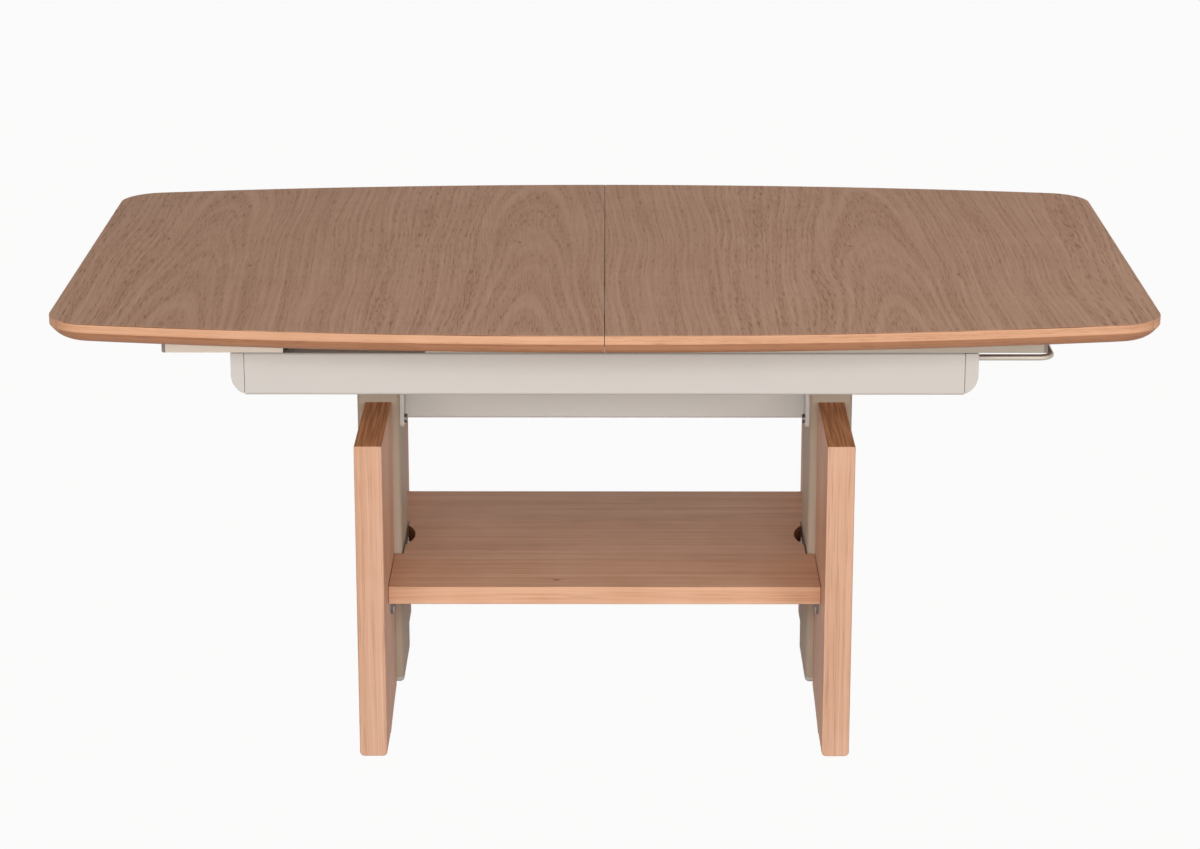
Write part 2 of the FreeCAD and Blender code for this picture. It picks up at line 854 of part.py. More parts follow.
def right_gas_rod():
    """Locking rod, bored for its release pin."""
    low, high = pin_span()
    bore = bar(pin_radius + pin_fit, Vector(leg_x, 0, low - pin_travel), Vector(leg_x, 0, high))
    return gas_rod(leg_x).cut(bore)


def release_pin():
    """Pin in the rod's end that opens the gas spring's valve."""
    low, high = pin_span()
    pin = bar(pin_radius, Vector(leg_x, 0, low), Vector(leg_x, 0, high))
    tip = edges_at(pin.Edges, ALONG_Z, high)
    return pin.makeFillet(pin_radius / 2, tip)


def rod_nuts():
    """Hexagon nuts that hold the rods in the head plates."""
    across_corners = nut_across_flats / math.cos(math.pi / 6)
    nuts = []
    for x in (-leg_x, leg_x):
        corners = []
        for step in range(7):
            angle = step * math.pi / 3
            reach_x = across_corners / 2 * math.cos(angle)
            reach_y = across_corners / 2 * math.sin(angle)
            corners.append(Vector(x + reach_x, reach_y, plate_top))
        hexagon = Part.Face(Part.makePolygon(corners)).extrude(Vector(0, 0, nut_height))
        hole = placed(plain_hole(rod_radius, nut_height + overrun), Vector(x, 0, plate_top), ALONG_Z)
        nuts.append(hexagon.cut(hole))
    return Part.makeCompound(nuts)


def pivot_bar(radius, place, reach):
    """Round bar on the bail's pivot axis, centred on a leg of the bail."""
    return bar(radius, Vector(pivot_x, place - reach, bail_z), Vector(pivot_x, place + reach, bail_z))


def release_bail():
    """Bent rod with a pusher bar over the release pin and a pivot boss on each leg."""
    run_x = bail_reach - bail_radius
    bend_x = run_x - bail_bend
    bend_y = bail_leg_place - bail_bend
    slant = bail_bend * math.sin(math.pi / 4)

    def spot(x, y):
        return Vector(x, y, bail_z)

    path = Part.Wire(
        [
            Part.LineSegment(spot(leg_x, -bail_leg_place), spot(bend_x, -bail_leg_place)).toShape(),
            Part.Arc(
                spot(bend_x, -bail_leg_place),
                spot(bend_x + slant, -bend_y - slant),
                spot(run_x, -bend_y),
            ).toShape(),
            Part.LineSegment(spot(run_x, -bend_y), spot(run_x, bend_y)).toShape(),
            Part.Arc(
                spot(run_x, bend_y),
                spot(bend_x + slant, bend_y + slant),
                spot(bend_x, bail_leg_place),
            ).toShape(),
            Part.LineSegment(spot(bend_x, bail_leg_place), spot(leg_x, bail_leg_place)).toShape(),
        ]
    )
    section = Part.Wire([Part.makeCircle(bail_radius, spot(leg_x, -bail_leg_place), ALONG_X)])
    rod = path.makePipeShell([section], True, False)
    reach = bail_leg_place + bail_radius
    pusher = box(
        leg_x - pusher_width / 2,
        -reach,
        bail_z - pusher_height / 2,
        leg_x + pusher_width / 2,
        reach,
        bail_z + pusher_height / 2,
    )
    places = (-bail_leg_place, bail_leg_place)
    bosses = [pivot_bar(boss_radius, place, boss_length / 2) for place in places]
    bores = [pivot_bar(pivot_radius + pivot_fit, place, boss_length) for place in places]
    return rod.fuse([pusher] + bosses).cut(bores)


def bail_brackets():
    """Forked brackets on the right head plate, with a web that the lowered bail rests on."""
    inside = boss_length / 2 + running_gap
    outside = inside + ear_thickness
    start = pivot_x - ear_inner
    end = pivot_x + ear_outer
    forks = []
    for place in (-bail_leg_place, bail_leg_place):
        fork = box(start, place - outside, plate_top, end, place + outside, bail_z + ear_above)
        crown = edges_at(edges_along(fork, ALONG_Y), ALONG_Z, bail_z + ear_above)
        fork = fork.makeFillet(ear_above, crown)
        room = box(
            start - overrun,
            place - inside,
            plate_top + ear_thickness,
            end - ear_thickness,
            place + inside,
            bail_z + ear_above + overrun,
        )
        above_web = box(
            start - overrun,
            place - inside,
            bail_z - bail_radius - running_gap,
            end + overrun,
            place + inside,
            bail_z + ear_above + overrun,
        )
        pivot_hole = pivot_bar(pivot_radius + hole_fit, place, outside + overrun)
        forks.append(fork.cut([room, above_web, pivot_hole]))
    return Part.makeCompound(forks)


def bail_pivots():
    """Headed pins through the brackets and the bail's bosses."""
    outside = boss_length / 2 + running_gap + ear_thickness
    pin = headed(pivot_radius, 2 * outside, pivot_head_radius, pivot_head_height)
    right = placed(pin, Vector(pivot_x, bail_leg_place + outside, bail_z), -ALONG_Y)
    return Part.makeCompound([right, mirror_y(right)])


def group(items):
    """Identical pieces kept in one file as separate solids."""
    return Part.makeCompound(items)


def base_pieces():
    """Everything that stands on the floor and stays there."""
    front_board = right_front_board()
    front_board = front_board.cut(bracket_board_screw_set(plain_hole(screw_radius, bracket_screw_length)))
    rear_board = mirror_y(front_board)
    column = right_column()
    plug = right_column_plug()
    collar = right_guide_collar()
    cylinder = right_gas_cylinder()
    buffer_pad = right_stop_buffer()
    brackets = right_brackets()
    front_screws = board_screw_set(sunk_screw(board_screw_length))
    board_screws = front_screws + [mirror_y(screw) for screw in front_screws]
    plate_bolt = headed(
        plate_bolt_radius,
        end_plate_thickness + column_wall,
        plate_bolt_head_radius,
        plate_bolt_head_height,
    )
    plate_bolts = plate_bolt_set(plate_bolt)
    bracket_screw = headed(screw_radius, bracket_screw_length, screw_head_radius, pan_head_height)
    bracket_screws = shelf_screw_set(bracket_screw) + bracket_board_screw_set(bracket_screw)
    pieces = {
        "crossbeam": crossbeam(),
        "shelf": shelf(),
        "foot_glides": foot_glides(),
        "stop_buffers": group([buffer_pad, mirror_x(buffer_pad)]),
        "shelf_brackets": group(brackets + [mirror_x(bracket) for bracket in brackets]),
        "board_screws": group(board_screws + [mirror_x(screw) for screw in board_screws]),
        "crossbeam_bolts": group(plate_bolts + [mirror_x(bolt) for bolt in plate_bolts]),
        "bracket_screws": group(bracket_screws + [mirror_x(screw) for screw in bracket_screws]),
    }
    paired = {
        "front_board": front_board,
        "rear_board": rear_board,
        "column": column,
        "column_plug": plug,
        "guide_collar": collar,
        "gas_cylinder": cylinder,
    }
    for name, shape in paired.items():
        pieces["right_" + name] = shape
        pieces["left_" + name] = mirror_x(shape)
    return pieces


def frame_pieces():
    """The frame that rises on the inner columns, and what rides on it."""
    beam = front_beam()
    cap = front_right_beam_cap()
    inner_column = right_inner_column()
    slider = right_slider()
    plate = right_head_plate()
    head_bolt = headed(
        head_bolt_radius,
        beam_wall + head_plate_thickness,
        head_bolt_head_radius,
        head_bolt_head_height,
    )
    glide_screw = headed(screw_radius, glide_screw_length, screw_head_radius, pan_head_height)
    right_glides = glides()
    return {
        "front_beam": beam,
        "rear_beam": half_turn(beam),
        "front_right_beam_cap": cap,
        "front_left_beam_cap": mirror_x(cap),
        "rear_right_beam_cap": mirror_y(cap),
        "rear_left_beam_cap": half_turn(cap),
        "right_inner_column": inner_column,
        "left_inner_column": mirror_x(inner_column),
        "right_slider": slider,
        "left_slider": mirror_x(slider),
        "right_head_plate": plate,
        "left_head_plate": mirror_x(plate),
        "head_plate_bolts": group(head_bolt_set(head_bolt)),
        "right_gas_rod": right_gas_rod(),
        "left_gas_rod": gas_rod(-leg_x),
        "rod_nuts": rod_nuts(),
        "right_runner_glides": right_glides,
        "left_runner_glides": half_turn(right_glides),
        "glide_screws": group(glide_screw_set(glide_screw)),
        "bail_brackets": bail_brackets(),
        "bail_pivots": bail_pivots(),
        "release_bail": release_bail(),
        "release_pin": release_pin(),
    }


def top_pieces():
    """Both halves of the top; the left one is the right one turned half round."""
    half = top_half()
    half["front_runner"] = runner(runner_start, -outer_line)
    half["rear_runner"] = runner(runner_start, inner_line)
    half["support_bar"] = runner(runner_reach - support_length, outer_line)
    half["runner_caps"] = runner_caps()
    half["runner_screws"] = group(runner_screws(0.0))
    turned_names = {"front_runner": "rear_runner", "rear_runner": "front_runner"}
    pieces = {"alignment_dowels": alignment_dowels()}
    for name, shape in half.items():
        pieces["right_" + name] = shape
        pieces["left_" + turned_names.get(name, name)] = half_turn(shape)
    return pieces


def main():
    """Write every piece to its own file."""
    os.makedirs("parts", exist_ok=True)
    pieces = {**base_pieces(), **frame_pieces(), **top_pieces()}
    for name, shape in sorted(pieces.items()):
        shape.exportStep("parts/" + name + ".step")
        print(name, len(shape.Solids), round(shape.Volume), shape.isValid())
    print(len(pieces), "pieces")


main()
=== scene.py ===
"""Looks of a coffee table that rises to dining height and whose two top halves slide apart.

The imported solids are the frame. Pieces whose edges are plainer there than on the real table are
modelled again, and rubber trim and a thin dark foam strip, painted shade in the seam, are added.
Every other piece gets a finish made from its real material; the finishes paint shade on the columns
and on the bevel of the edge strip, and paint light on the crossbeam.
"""

import json
import logging
import math
from dataclasses import dataclass
from enum import Enum
from typing import Callable, Optional, Sequence, Union

import bmesh
import bpy
from mathutils import Matrix, Vector


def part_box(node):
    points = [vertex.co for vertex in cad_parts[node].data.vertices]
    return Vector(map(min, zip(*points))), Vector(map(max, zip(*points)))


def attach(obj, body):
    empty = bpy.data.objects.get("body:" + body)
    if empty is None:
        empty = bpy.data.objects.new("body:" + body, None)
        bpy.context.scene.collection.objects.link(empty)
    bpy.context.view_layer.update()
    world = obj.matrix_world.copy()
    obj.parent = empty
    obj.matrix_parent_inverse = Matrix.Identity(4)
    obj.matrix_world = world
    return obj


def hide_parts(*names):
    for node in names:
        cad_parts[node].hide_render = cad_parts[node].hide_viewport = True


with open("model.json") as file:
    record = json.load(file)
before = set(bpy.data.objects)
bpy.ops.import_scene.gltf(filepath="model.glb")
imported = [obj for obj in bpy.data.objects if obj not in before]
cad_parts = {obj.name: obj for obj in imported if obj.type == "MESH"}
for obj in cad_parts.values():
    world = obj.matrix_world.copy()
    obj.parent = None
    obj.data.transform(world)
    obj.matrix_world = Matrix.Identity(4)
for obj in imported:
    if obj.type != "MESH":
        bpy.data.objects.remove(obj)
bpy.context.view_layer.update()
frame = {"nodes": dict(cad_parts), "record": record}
LOG = logging.getLogger("table")
MM = 0.001
NEAR = 0.01 * MM
WHITE = "#FFFFFF"

# Least share of a direction along an axis, and greatest share of one square to it, loose and close.
ALONG, SQUARE = 0.9, 0.1
FLAT, LEVEL = 0.99, 0.01
# Degrees between two faces, past which their edge is rounded, or is shaded sharp.
ROUND_ANGLE, SHARP_ANGLE = 40.0, 35.0
# Places of the Mix node's sockets for numbers and for colours.
NUMBER_A, NUMBER_B = 2, 3
COLOUR_A, COLOUR_B = 6, 7
MIX_COLOURS = {"out": 2, "data_type": "RGBA"}
SOFT = {"interpolation_type": "SMOOTHSTEP"}
TIMES_PLUS = {"operation": "MULTIPLY_ADD"}

Socket = bpy.types.NodeSocket
Tree = bpy.types.NodeTree
Shader = bpy.types.Node
Piece = bpy.types.Object
Value = Union[Socket, float, Sequence[float]]
Test = Callable[[Vector, Vector], bool]


class Side(Enum):
    """The two ends of the table, by the sign of X."""

    LEFT = -1
    RIGHT = 1

    @property
    def word(self) -> str:
        """Give the word that starts the names of this side's pieces."""
        return self.name.lower()


class Part(Enum):
    """What a selection in edit mode picks."""

    VERT = "verts"
    EDGE = "edges"
    FACE = "faces"


class Grain(Enum):
    """The way of fibres or fine lines: the axes that run along, across and through them."""

    ALONG_X = (0, 1, 2)
    ALONG_Y = (1, 0, 2)
    ALONG_Z = (2, 1, 0)


def linear(colour: str) -> tuple[float, float, float, float]:
    """Turn an sRGB hex colour to linear light.

    Args:
        colour: Six hex digits after a hash.

    Returns:
        Red, green, blue and a full alpha.
    """
    shares = [int(colour[i:i + 2], 16) / 255 for i in (1, 3, 5)]
    red, green, blue = (s / 12.92 if s <= 0.04045 else ((s + 0.055) / 1.055) ** 2.4 for s in shares)
    return red, green, blue, 1.0


def arc_radius(half_chord: float, rise: float) -> float:
    """Give the radius of an arc from half its chord and its rise."""
    return (half_chord ** 2 + rise ** 2) / (2 * rise)


def add(
    tree: Tree,
    kind: str,
    *values: Value,
    named: Optional[dict[Union[str, int], Value]] = None,
    out: Union[str, int] = 0,
    **settings: object,
) -> Socket:
    """Add one shader node with its settings and links.

    Args:
        tree: Node tree that gets the node.
        kind: Node type without its ShaderNode prefix.
        values: What goes into the first inputs, in order, a link or a number.
        named: What goes into other inputs, by name or number.
        out: Name or number of the output to give back.
        settings: Properties of the node itself.

    Returns:
        The chosen output.
    """
    node = tree.nodes.new("ShaderNode" + kind)
    for name, value in settings.items():
        setattr(node, name, value)
    for key, value in [*enumerate(values), *(named or {}).items()]:
        if isinstance(value, Socket):
            tree.links.new(value, node.inputs[key])
        else:
            node.inputs[key].default_value = value
    return node.outputs[out]


@dataclass(frozen=True)
class Finish:
    """One real material: its name, colour and gloss. The kinds below draw its pattern."""

    name: str
    colour: str
    roughness: float
    metallic: float = 0.0
    specular: float = 0.5

    def material(self) -> bpy.types.Material:
        """Give this finish's material, made on first use.

        Returns:
            The material.
        """
        made = bpy.data.materials.get(self.name)
        if made is None:
            made = bpy.data.materials.new(self.name)
            made.use_nodes = True
            tree = made.node_tree
            shader = next(n for n in tree.nodes if n.type == "BSDF_PRINCIPLED")
            shader.inputs["Metallic"].default_value = self.metallic
            shader.inputs["Roughness"].default_value = self.roughness
            shader.inputs["Base Color"].default_value = linear(self.colour)
            if not self.metallic:
                shader.inputs["Specular IOR Level"].default_value = self.specular
            self.draw(tree, shader)
        return made

    def draw(self, tree: Tree, shader: Shader) -> None:
        """Leave the plain colour and gloss as they are."""

    @staticmethod
    def place(tree: Tree) -> Socket:
        """Give the place on the piece, in millimetres."""
        spot = add(tree, "TexCoord", out="Object")
        return add(tree, "VectorMath", spot, named={"Scale": 1 / MM}, operation="SCALE")

    @staticmethod
    def raise_bump(tree: Tree, shader: Shader, height: Socket, depth: float) -> None:
        """Let a height pattern tilt the surface, where a step of 1 stands for a depth in millimetres."""
        tilt = add(tree, "Bump", named={"Distance": depth * MM, "Height": height})
        tree.links.new(tilt, shader.inputs["Normal"])


@dataclass(frozen=True)
class Wood(Finish):
    """Oiled wood, whose lines follow the rings round the log's heart as straight grain or arches.

    All sizes are in millimetres, and a span is where a pattern goes from none to full. Fibres and
    pores are drawn a few times coarser than the real ones, which are finer than a pixel.
    """

    # Colours of the darker years, pores and cut ends.
    dark: str = "#B98D70"
    pore: str = "#7A5238"
    end: str = "#A5724E"
    end_dark: str = "#6B442B"
    grain: Grain = Grain.ALONG_X
    # Staves: their width, and how one differs from the next.
    stave: float = 90.0
    stave_shift: float = 0.0
    stave_tint: float = 0.06
    stave_fade: float = 0.0
    stave_step: float = 3.7
    unlike: float = 50.0
    # Rings: where the log's heart lies, and how it tapers, dips and wanders.
    beside: float = 60.0
    heart: float = 90.0
    spread: float = 1.0
    taper: float = 0.006
    dip: float = 0.0
    dip_span: tuple[float, float] = (-400.0, -40.0)
    wander: float = 2.0
    wander_width: float = 60.0
    wander_length: float = 400.0
    # Lines: bands of years, fibres, pores, rays on the cut ends, and clouds.
    band: float = 6.0
    band_length: float = 500.0
    fibre: float = 1.5
    fibre_length: float = 160.0
    pore_width: float = 1.0
    pore_length: float = 24.0
    pore_span: tuple[float, float] = (0.52, 0.68)
    early_span: tuple[float, float] = (0.4, 0.62)
    late_pores: float = 0.25
    ray: float = 2.2
    ray_length: float = 110.0
    ray_span: tuple[float, float] = (0.36, 0.64)
    end_span: tuple[float, float] = (0.72, 0.86)
    cloud: float = 60.0
    tilt: float = 1.0
    # How strongly each shows, in colour, gloss and relief.
    band_share: float = 0.8
    fibre_share: float = 0.9
    cloud_share: float = 0.5
    pore_share: float = 0.3
    pore_matt: float = 0.15
    depth: float = 0.03
    # Knots: their places along and across, and how the grain flows round them.
    knots: tuple[tuple[float, float], ...] = ()
    knot_reach: float = 16.0
    knot_swell: float = 3.5
    knot_radius: float = 3.2
    knot_squeeze: float = 0.45

    def axes(self, tree: Tree, vector: Socket, spot: Socket) -> list[Socket]:
        """Sort a vector, at a place on the piece, into along, across and through the grain."""
        split = add(tree, "SeparateXYZ", vector).node.outputs
        return [split[axis] for axis in self.grain.value]

    def shade(self, tree: Tree, colour: Socket) -> Socket:
        """Leave the colour as it is."""
        return colour

    def streaks(self, tree: Tree, flow: Socket, width: float, length: float, detail: float = 2.0) -> Socket:
        """Draw noise in streaks that differ from stave to stave.

        Args:
            tree: The node tree.
            flow: Place across and along the streaks, and the number of the stave.
            width: Usual width of a streak.
            length: Its usual length.
            detail: Layers of finer noise.

        Returns:
            The noise, from 0 to 1.
        """
        scale = (1 / width, 1 / length, self.stave_step)
        scaled = add(tree, "VectorMath", flow, scale, operation="MULTIPLY")
        return add(tree, "TexNoise", scaled, named={"Scale": 1.0, "Detail": detail})

    def knot_marks(self, tree: Tree, along: Socket, across: Socket) -> tuple[Value, Value]:
        """Draw small knots and how the grain flows round them.

        Args:
            tree: The node tree.
            along: Place along the grain.
            across: Place across the grain.

        Returns:
            The swell of the grain round the knots and the dark of their hearts, each from 0 to 1.
        """
        flat = add(tree, "CombineXYZ", along, across)
        swell: Value = 0.0
        heart: Value = 0.0
        for spot in self.knots:
            gap = add(tree, "VectorMath", flat, (*spot, 0.0), operation="SUBTRACT")
            gap = add(tree, "VectorMath", gap, (self.knot_squeeze, 1.0, 0.0), operation="MULTIPLY")
            gap = add(tree, "VectorMath", gap, out="Value", operation="LENGTH")
            near = add(tree, "MapRange", gap, 0.0, self.knot_reach, 1.0, 0.0, **SOFT)
            core = add(tree, "MapRange", gap, 0.0, self.knot_radius, 1.0, 0.0, **SOFT)
            swell = add(tree, "Math", swell, near, operation="MAXIMUM")
            heart = add(tree, "Math", heart, core, operation="MAXIMUM")
        return swell, heart

    def rings(self, tree: Tree, place: Sequence[Socket]) -> tuple[Socket, Socket, Socket, Socket]:
        """Find the stave of a place, cut from its own part of the log, and the ring that it is in.

        Args:
            tree: The node tree.
            place: Place along, across and through the grain.

        Returns:
            The stave's number, its brightness, the place beside the heart and the distance from it.
        """
        along, across, through = place
        stave = add(tree, "Math", across, 1 / self.stave, self.stave_shift, **TIMES_PLUS)
        number = add(tree, "Math", stave, operation="FLOOR")
        inside = add(tree, "Math", stave, operation="FRACT")
        chance = add(tree, "TexWhiteNoise", named={"W": number}, out="Color", noise_dimensions="1D")
        chance = add(tree, "SeparateXYZ", chance).node.outputs
        darkest = 1 - self.stave_tint / 2
        tint = add(tree, "Math", chance[2], self.stave_tint, darkest, **TIMES_PLUS)
        nearest = self.beside - self.unlike / 2
        aside = add(tree, "Math", chance[0], self.unlike, nearest, **TIMES_PLUS)
        local = add(tree, "Math", inside, self.stave, -self.stave / 2, **TIMES_PLUS)
        local = add(tree, "Math", local, self.spread, aside, **TIMES_PLUS)

        # The heart wanders and tapers along the tree.
        whole = add(tree, "CombineXYZ", across, along, number)
        wave = self.streaks(tree, whole, self.wander_width, self.wander_length, 1.0)
        wave = add(tree, "Math", wave, 2 * self.wander, -self.wander, **TIMES_PLUS)
        local = add(tree, "Math", local, wave, operation="ADD")
        below = add(tree, "Math", along, self.taper, self.heart, **TIMES_PLUS)
        dip = add(tree, "MapRange", along, *self.dip_span, self.dip, 0.0, **SOFT)
        for depth in (dip, through):
            below = add(tree, "Math", below, depth, operation="ADD")
        radius = add(tree, "CombineXYZ", local, below)
        radius = add(tree, "VectorMath", radius, out="Value", operation="LENGTH")
        return number, tint, local, radius

    def draw(self, tree: Tree, shader: Shader) -> None:
        """Draw the grain lines, pores, knots and end grain.

        Args:
            tree: The node tree.
            shader: Its surface shader.
        """
        spot = self.place(tree)
        place = self.axes(tree, spot, spot)
        along, across, through = place
        number, tint, local, radius = self.rings(tree, place)
        swell, knot = self.knot_marks(tree, along, across)
        radius = add(tree, "Math", swell, self.knot_swell, radius, **TIMES_PLUS)

        # Bands of years follow the rings. Fibres and short dark pores run along the tree, and most
        # pores lie in the early wood of a ring.
        years = add(tree, "CombineXYZ", radius, along, number)
        tubes = add(tree, "Math", radius, self.tilt, local, **TIMES_PLUS)
        tubes = add(tree, "CombineXYZ", tubes, along, number)
        band = self.streaks(tree, years, self.band, self.band_length)
        fibre = self.streaks(tree, tubes, self.fibre, self.fibre_length)
        pores = self.streaks(tree, tubes, self.pore_width, self.pore_length, 1.0)
        early = add(tree, "MapRange", band, *self.early_span, self.late_pores, 1.0, **SOFT)
        pores = add(tree, "MapRange", pores, *self.pore_span, **SOFT)
        pores = add(tree, "Math", pores, early, operation="MULTIPLY")
        cloud = add(tree, "TexNoise", spot, named={"Scale": 1 / self.cloud, "Detail": 2.0})

        tone: Value = 0.5
        for pattern, share in (
            (band, self.band_share), (fibre, self.fibre_share), (cloud, self.cloud_share),
        ):
            swing = add(tree, "Math", pattern, share, -share / 2, **TIMES_PLUS)
            tone = add(tree, "Math", tone, swing, operation="ADD", use_clamp=pattern is cloud)
        tones = {COLOUR_A: linear(self.colour), COLOUR_B: linear(self.dark)}
        colour = add(tree, "Mix", tone, named=tones, **MIX_COLOURS)
        dots = add(tree, "Math", pores, self.pore_share, operation="MULTIPLY")
        dots = add(tree, "Math", dots, knot, operation="MAXIMUM")
        tones = {COLOUR_A: colour, COLOUR_B: linear(self.pore)}
        colour = add(tree, "Mix", dots, named=tones, **MIX_COLOURS)
        fade = add(tree, "Math", number, -self.stave_fade, 1.0, **TIMES_PLUS)
        colour = add(tree, "HueSaturation", named={"Saturation": fade, "Value": tint, "Color": colour})

        # Cut fibre ends drink more oil, so end grain is darker, with fine lines across the board.
        facing = add(tree, "NewGeometry", out="Normal")
        facing = add(tree, "Math", self.axes(tree, facing, spot)[0], operation="ABSOLUTE")
        facing = add(tree, "MapRange", facing, *self.end_span, **SOFT)
        rays = add(tree, "CombineXYZ", through, across)
        rays = self.streaks(tree, rays, self.ray, self.ray_length)
        rays = add(tree, "MapRange", rays, *self.ray_span, **SOFT)
        tones = {COLOUR_A: linear(self.end), COLOUR_B: linear(self.end_dark)}
        ends = add(tree, "Mix", rays, named=tones, **MIX_COLOURS)
        colour = add(tree, "Mix", facing, named={COLOUR_A: colour, COLOUR_B: ends}, **MIX_COLOURS)
        tree.links.new(self.shade(tree, colour), shader.inputs["Base Color"])

        gloss = add(tree, "Math", pores, self.pore_matt, self.roughness, **TIMES_PLUS)
        tree.links.new(gloss, shader.inputs["Roughness"])
        height = add(tree, "Math", pores, -1.0, fibre, **TIMES_PLUS)
        self.raise_bump(tree, shader, height, self.depth)


@dataclass(frozen=True)
class EdgeWood(Wood):
    """Oiled strips round the edge of the top, mitred at its corners."""

    corner: tuple[float, float] = (600.0, 320.0)
    # Painted shade on the bevel under the edge: the colour multiplied in, and the span of downward facing
    # over which it comes in.
    bevel: str = "#E5DAD1"
    bevel_span: tuple[float, float] = (-0.3, -0.6)

    def shade(self, tree: Tree, colour: Socket) -> Socket:
        """Paint shade on the bevel under the edge, which faces down and so gets less light.

        Args:
            tree: The node tree.
            colour: The colour of the wood.

        Returns:
            The colour with painted shade on the bevel.
        """
        facing = add(tree, "NewGeometry", out="Normal")
        down = add(tree, "SeparateXYZ", facing).node.outputs["Z"]
        down = add(tree, "MapRange", down, *self.bevel_span, **SOFT)
        # Painted shade: the bevel's colour is multiplied in where the surface faces down.
        tones = {COLOUR_A: colour, COLOUR_B: linear(self.bevel)}
        return add(tree, "Mix", down, named=tones, blend_type="MULTIPLY", **MIX_COLOURS)

    def axes(self, tree: Tree, vector: Socket, spot: Socket) -> list[Socket]:
        """Sort a vector by the strip that it is on, along the sides or across the ends.

        Args:
            tree: The node tree.
            vector: The vector to sort.
            spot: Place on the piece in millimetres.

        Returns:
            The three sorted parts.
        """
        split = add(tree, "SeparateXYZ", vector).node.outputs
        away = add(tree, "VectorMath", spot, operation="ABSOLUTE")
        away = add(tree, "SeparateXYZ", away).node.outputs
        to_end = add(tree, "Math", self.corner[0], away[0], operation="SUBTRACT")
        to_side = add(tree, "Math", self.corner[1], away[1], operation="SUBTRACT")
        at_end = add(tree, "Math", to_end, to_side, operation="LESS_THAN")
        along = add(tree, "Mix", at_end, named={NUMBER_A: split[0], NUMBER_B: split[1]})
        across = add(tree, "Mix", at_end, named={NUMBER_A: split[1], NUMBER_B: split[0]})
        return [along, across, split[2]]


@dataclass(frozen=True)
class Grained(Finish):
    """A coat or a moulding with a fine even grain and faint clouds. Sizes are in millimetres."""

    grit: float = 1.4
    depth: float = 0.01
    gloss_share: float = 0.1
    cloud: float = 70.0
    cloud_detail: float = 2.0
    cloud_share: float = 0.05

    def relief(self, tree: Tree, spot: Socket) -> Socket:
        """Draw the grain."""
        return add(tree, "TexNoise", spot, named={"Scale": 1 / self.grit, "Detail": 2.0})

    def draw(self, tree: Tree, shader: Shader) -> None:
        """Draw the clouds in the colour, and the relief.

        Args:
            tree: The node tree.
            shader: Its surface shader.
        """
        spot = self.place(tree)
        cloud = add(tree, "TexNoise", spot, named={"Scale": 1 / self.cloud, "Detail": self.cloud_detail})
        darkest = 1 - self.cloud_share / 2
        tint = add(tree, "Math", cloud, self.cloud_share, darkest, **TIMES_PLUS)
        colour = add(tree, "HueSaturation", named={"Value": tint, "Color": linear(self.colour)})
        tree.links.new(colour, shader.inputs["Base Color"])
        relief = self.relief(tree, spot)
        # The gloss of a metal varies with its lines, and that of a coat with its clouds.
        worn = relief if self.metallic else cloud
        least = self.roughness - self.gloss_share / 2
        gloss = add(tree, "Math", worn, self.gloss_share, least, **TIMES_PLUS)
        tree.links.new(gloss, shader.inputs["Roughness"])
        self.raise_bump(tree, shader, relief, self.depth)


@dataclass(frozen=True)
class Drawn(Grained):
    """A bare or plated metal with fine lines along the way it was drawn, ground or rolled.

    Its grit is the width of a line. The lines are finer than a pixel and show only as a softer shine.
    """

    metallic: float = 1.0
    grain: Grain = Grain.ALONG_X
    grit: float = 0.2
    length: float = 16.0
    depth: float = 0.002
    gloss_share: float = 0.2
    cloud: float = 25.0
    cloud_detail: float = 3.0
    cloud_share: float = 0.06

    def relief(self, tree: Tree, spot: Socket) -> Socket:
        """Draw the lines.

        Args:
            tree: The node tree.
            spot: Place on the piece in millimetres.

        Returns:
            The lines, from 0 to 1.
        """
        scale = [1 / self.grit] * 3
        scale[self.grain.value[0]] = 1 / self.length
        fine = add(tree, "VectorMath", spot, scale, operation="MULTIPLY")
        return add(tree, "TexNoise", fine, named={"Scale": 1.0, "Detail": 2.0})


# Crown-cut oak veneer in slip-matched leaves: soft arches down each leaf's middle, lines at its sides.
VENEER = Wood(
    "oiled_oak_veneer", "#D9B095", 0.6, specular=0.12, dark="#AE8166", pore="#7D553C", end="#B58A6C",
    grain=Grain.ALONG_Y, stave=390.0, stave_shift=0.654, stave_tint=0.02, stave_step=0.12, unlike=24.0,
    beside=22.0, heart=-470.0, taper=0.05, dip=-2.0, wander=18.0, wander_width=150.0, wander_length=420.0,
    band=4.0, fibre=1.6, fibre_length=120.0, pore_width=1.1, pore_length=26.0, cloud=90.0, tilt=0.4,
    band_share=0.95, fibre_share=0.8, cloud_share=0.3, pore_share=0.5,
    knots=((72.0, -515.0), (-62.0, -405.0), (55.0, -100.0), (35.0, 287.0), (-103.0, 400.0)),
)
# Quarter-cut solid oak: straight close lines on the fronts of the leg boards.
BOARD = Wood(
    "oiled_oak_board", "#EBC3A9", 0.55, specular=0.2, dark="#CA9A7B", end="#E4A676", end_dark="#BA7B51",
    grain=Grain.ALONG_Z, stave=58.0, stave_shift=0.3, unlike=24.0, beside=10.0, heart=60.0,
    fibre_length=220.0, pore_length=60.0, pore_share=0.25,
)
# Rift-cut oak staves glued side by side: straight lines along the shelf.
SHELF = Wood(
    "oiled_oak_shelf", "#F2CAAF", 0.55, specular=0.15, dark="#CC9A79", stave=142.0, stave_shift=0.577,
    stave_fade=0.07, beside=110.0, heart=-90.0, taper=0.004, wander=5.0, wander_width=70.0, fibre=2.0,
    fibre_length=220.0, pore_length=60.0, pore_share=0.22, knots=((-55.0, -157.0),),
)
# Solid oak strips round the top: fine lines along the edge, with painted shade on the bevel below.
LIPPING = EdgeWood(
    "oiled_oak_lipping", "#EABA98", 0.55, specular=0.3, dark="#C48F6B", stave=2000.0, stave_shift=0.5,
    stave_tint=0.0, stave_step=1.0, unlike=0.0, beside=0.0, heart=-455.0, spread=0.05, taper=0.004,
    wander=1.5, fibre_length=200.0,
)
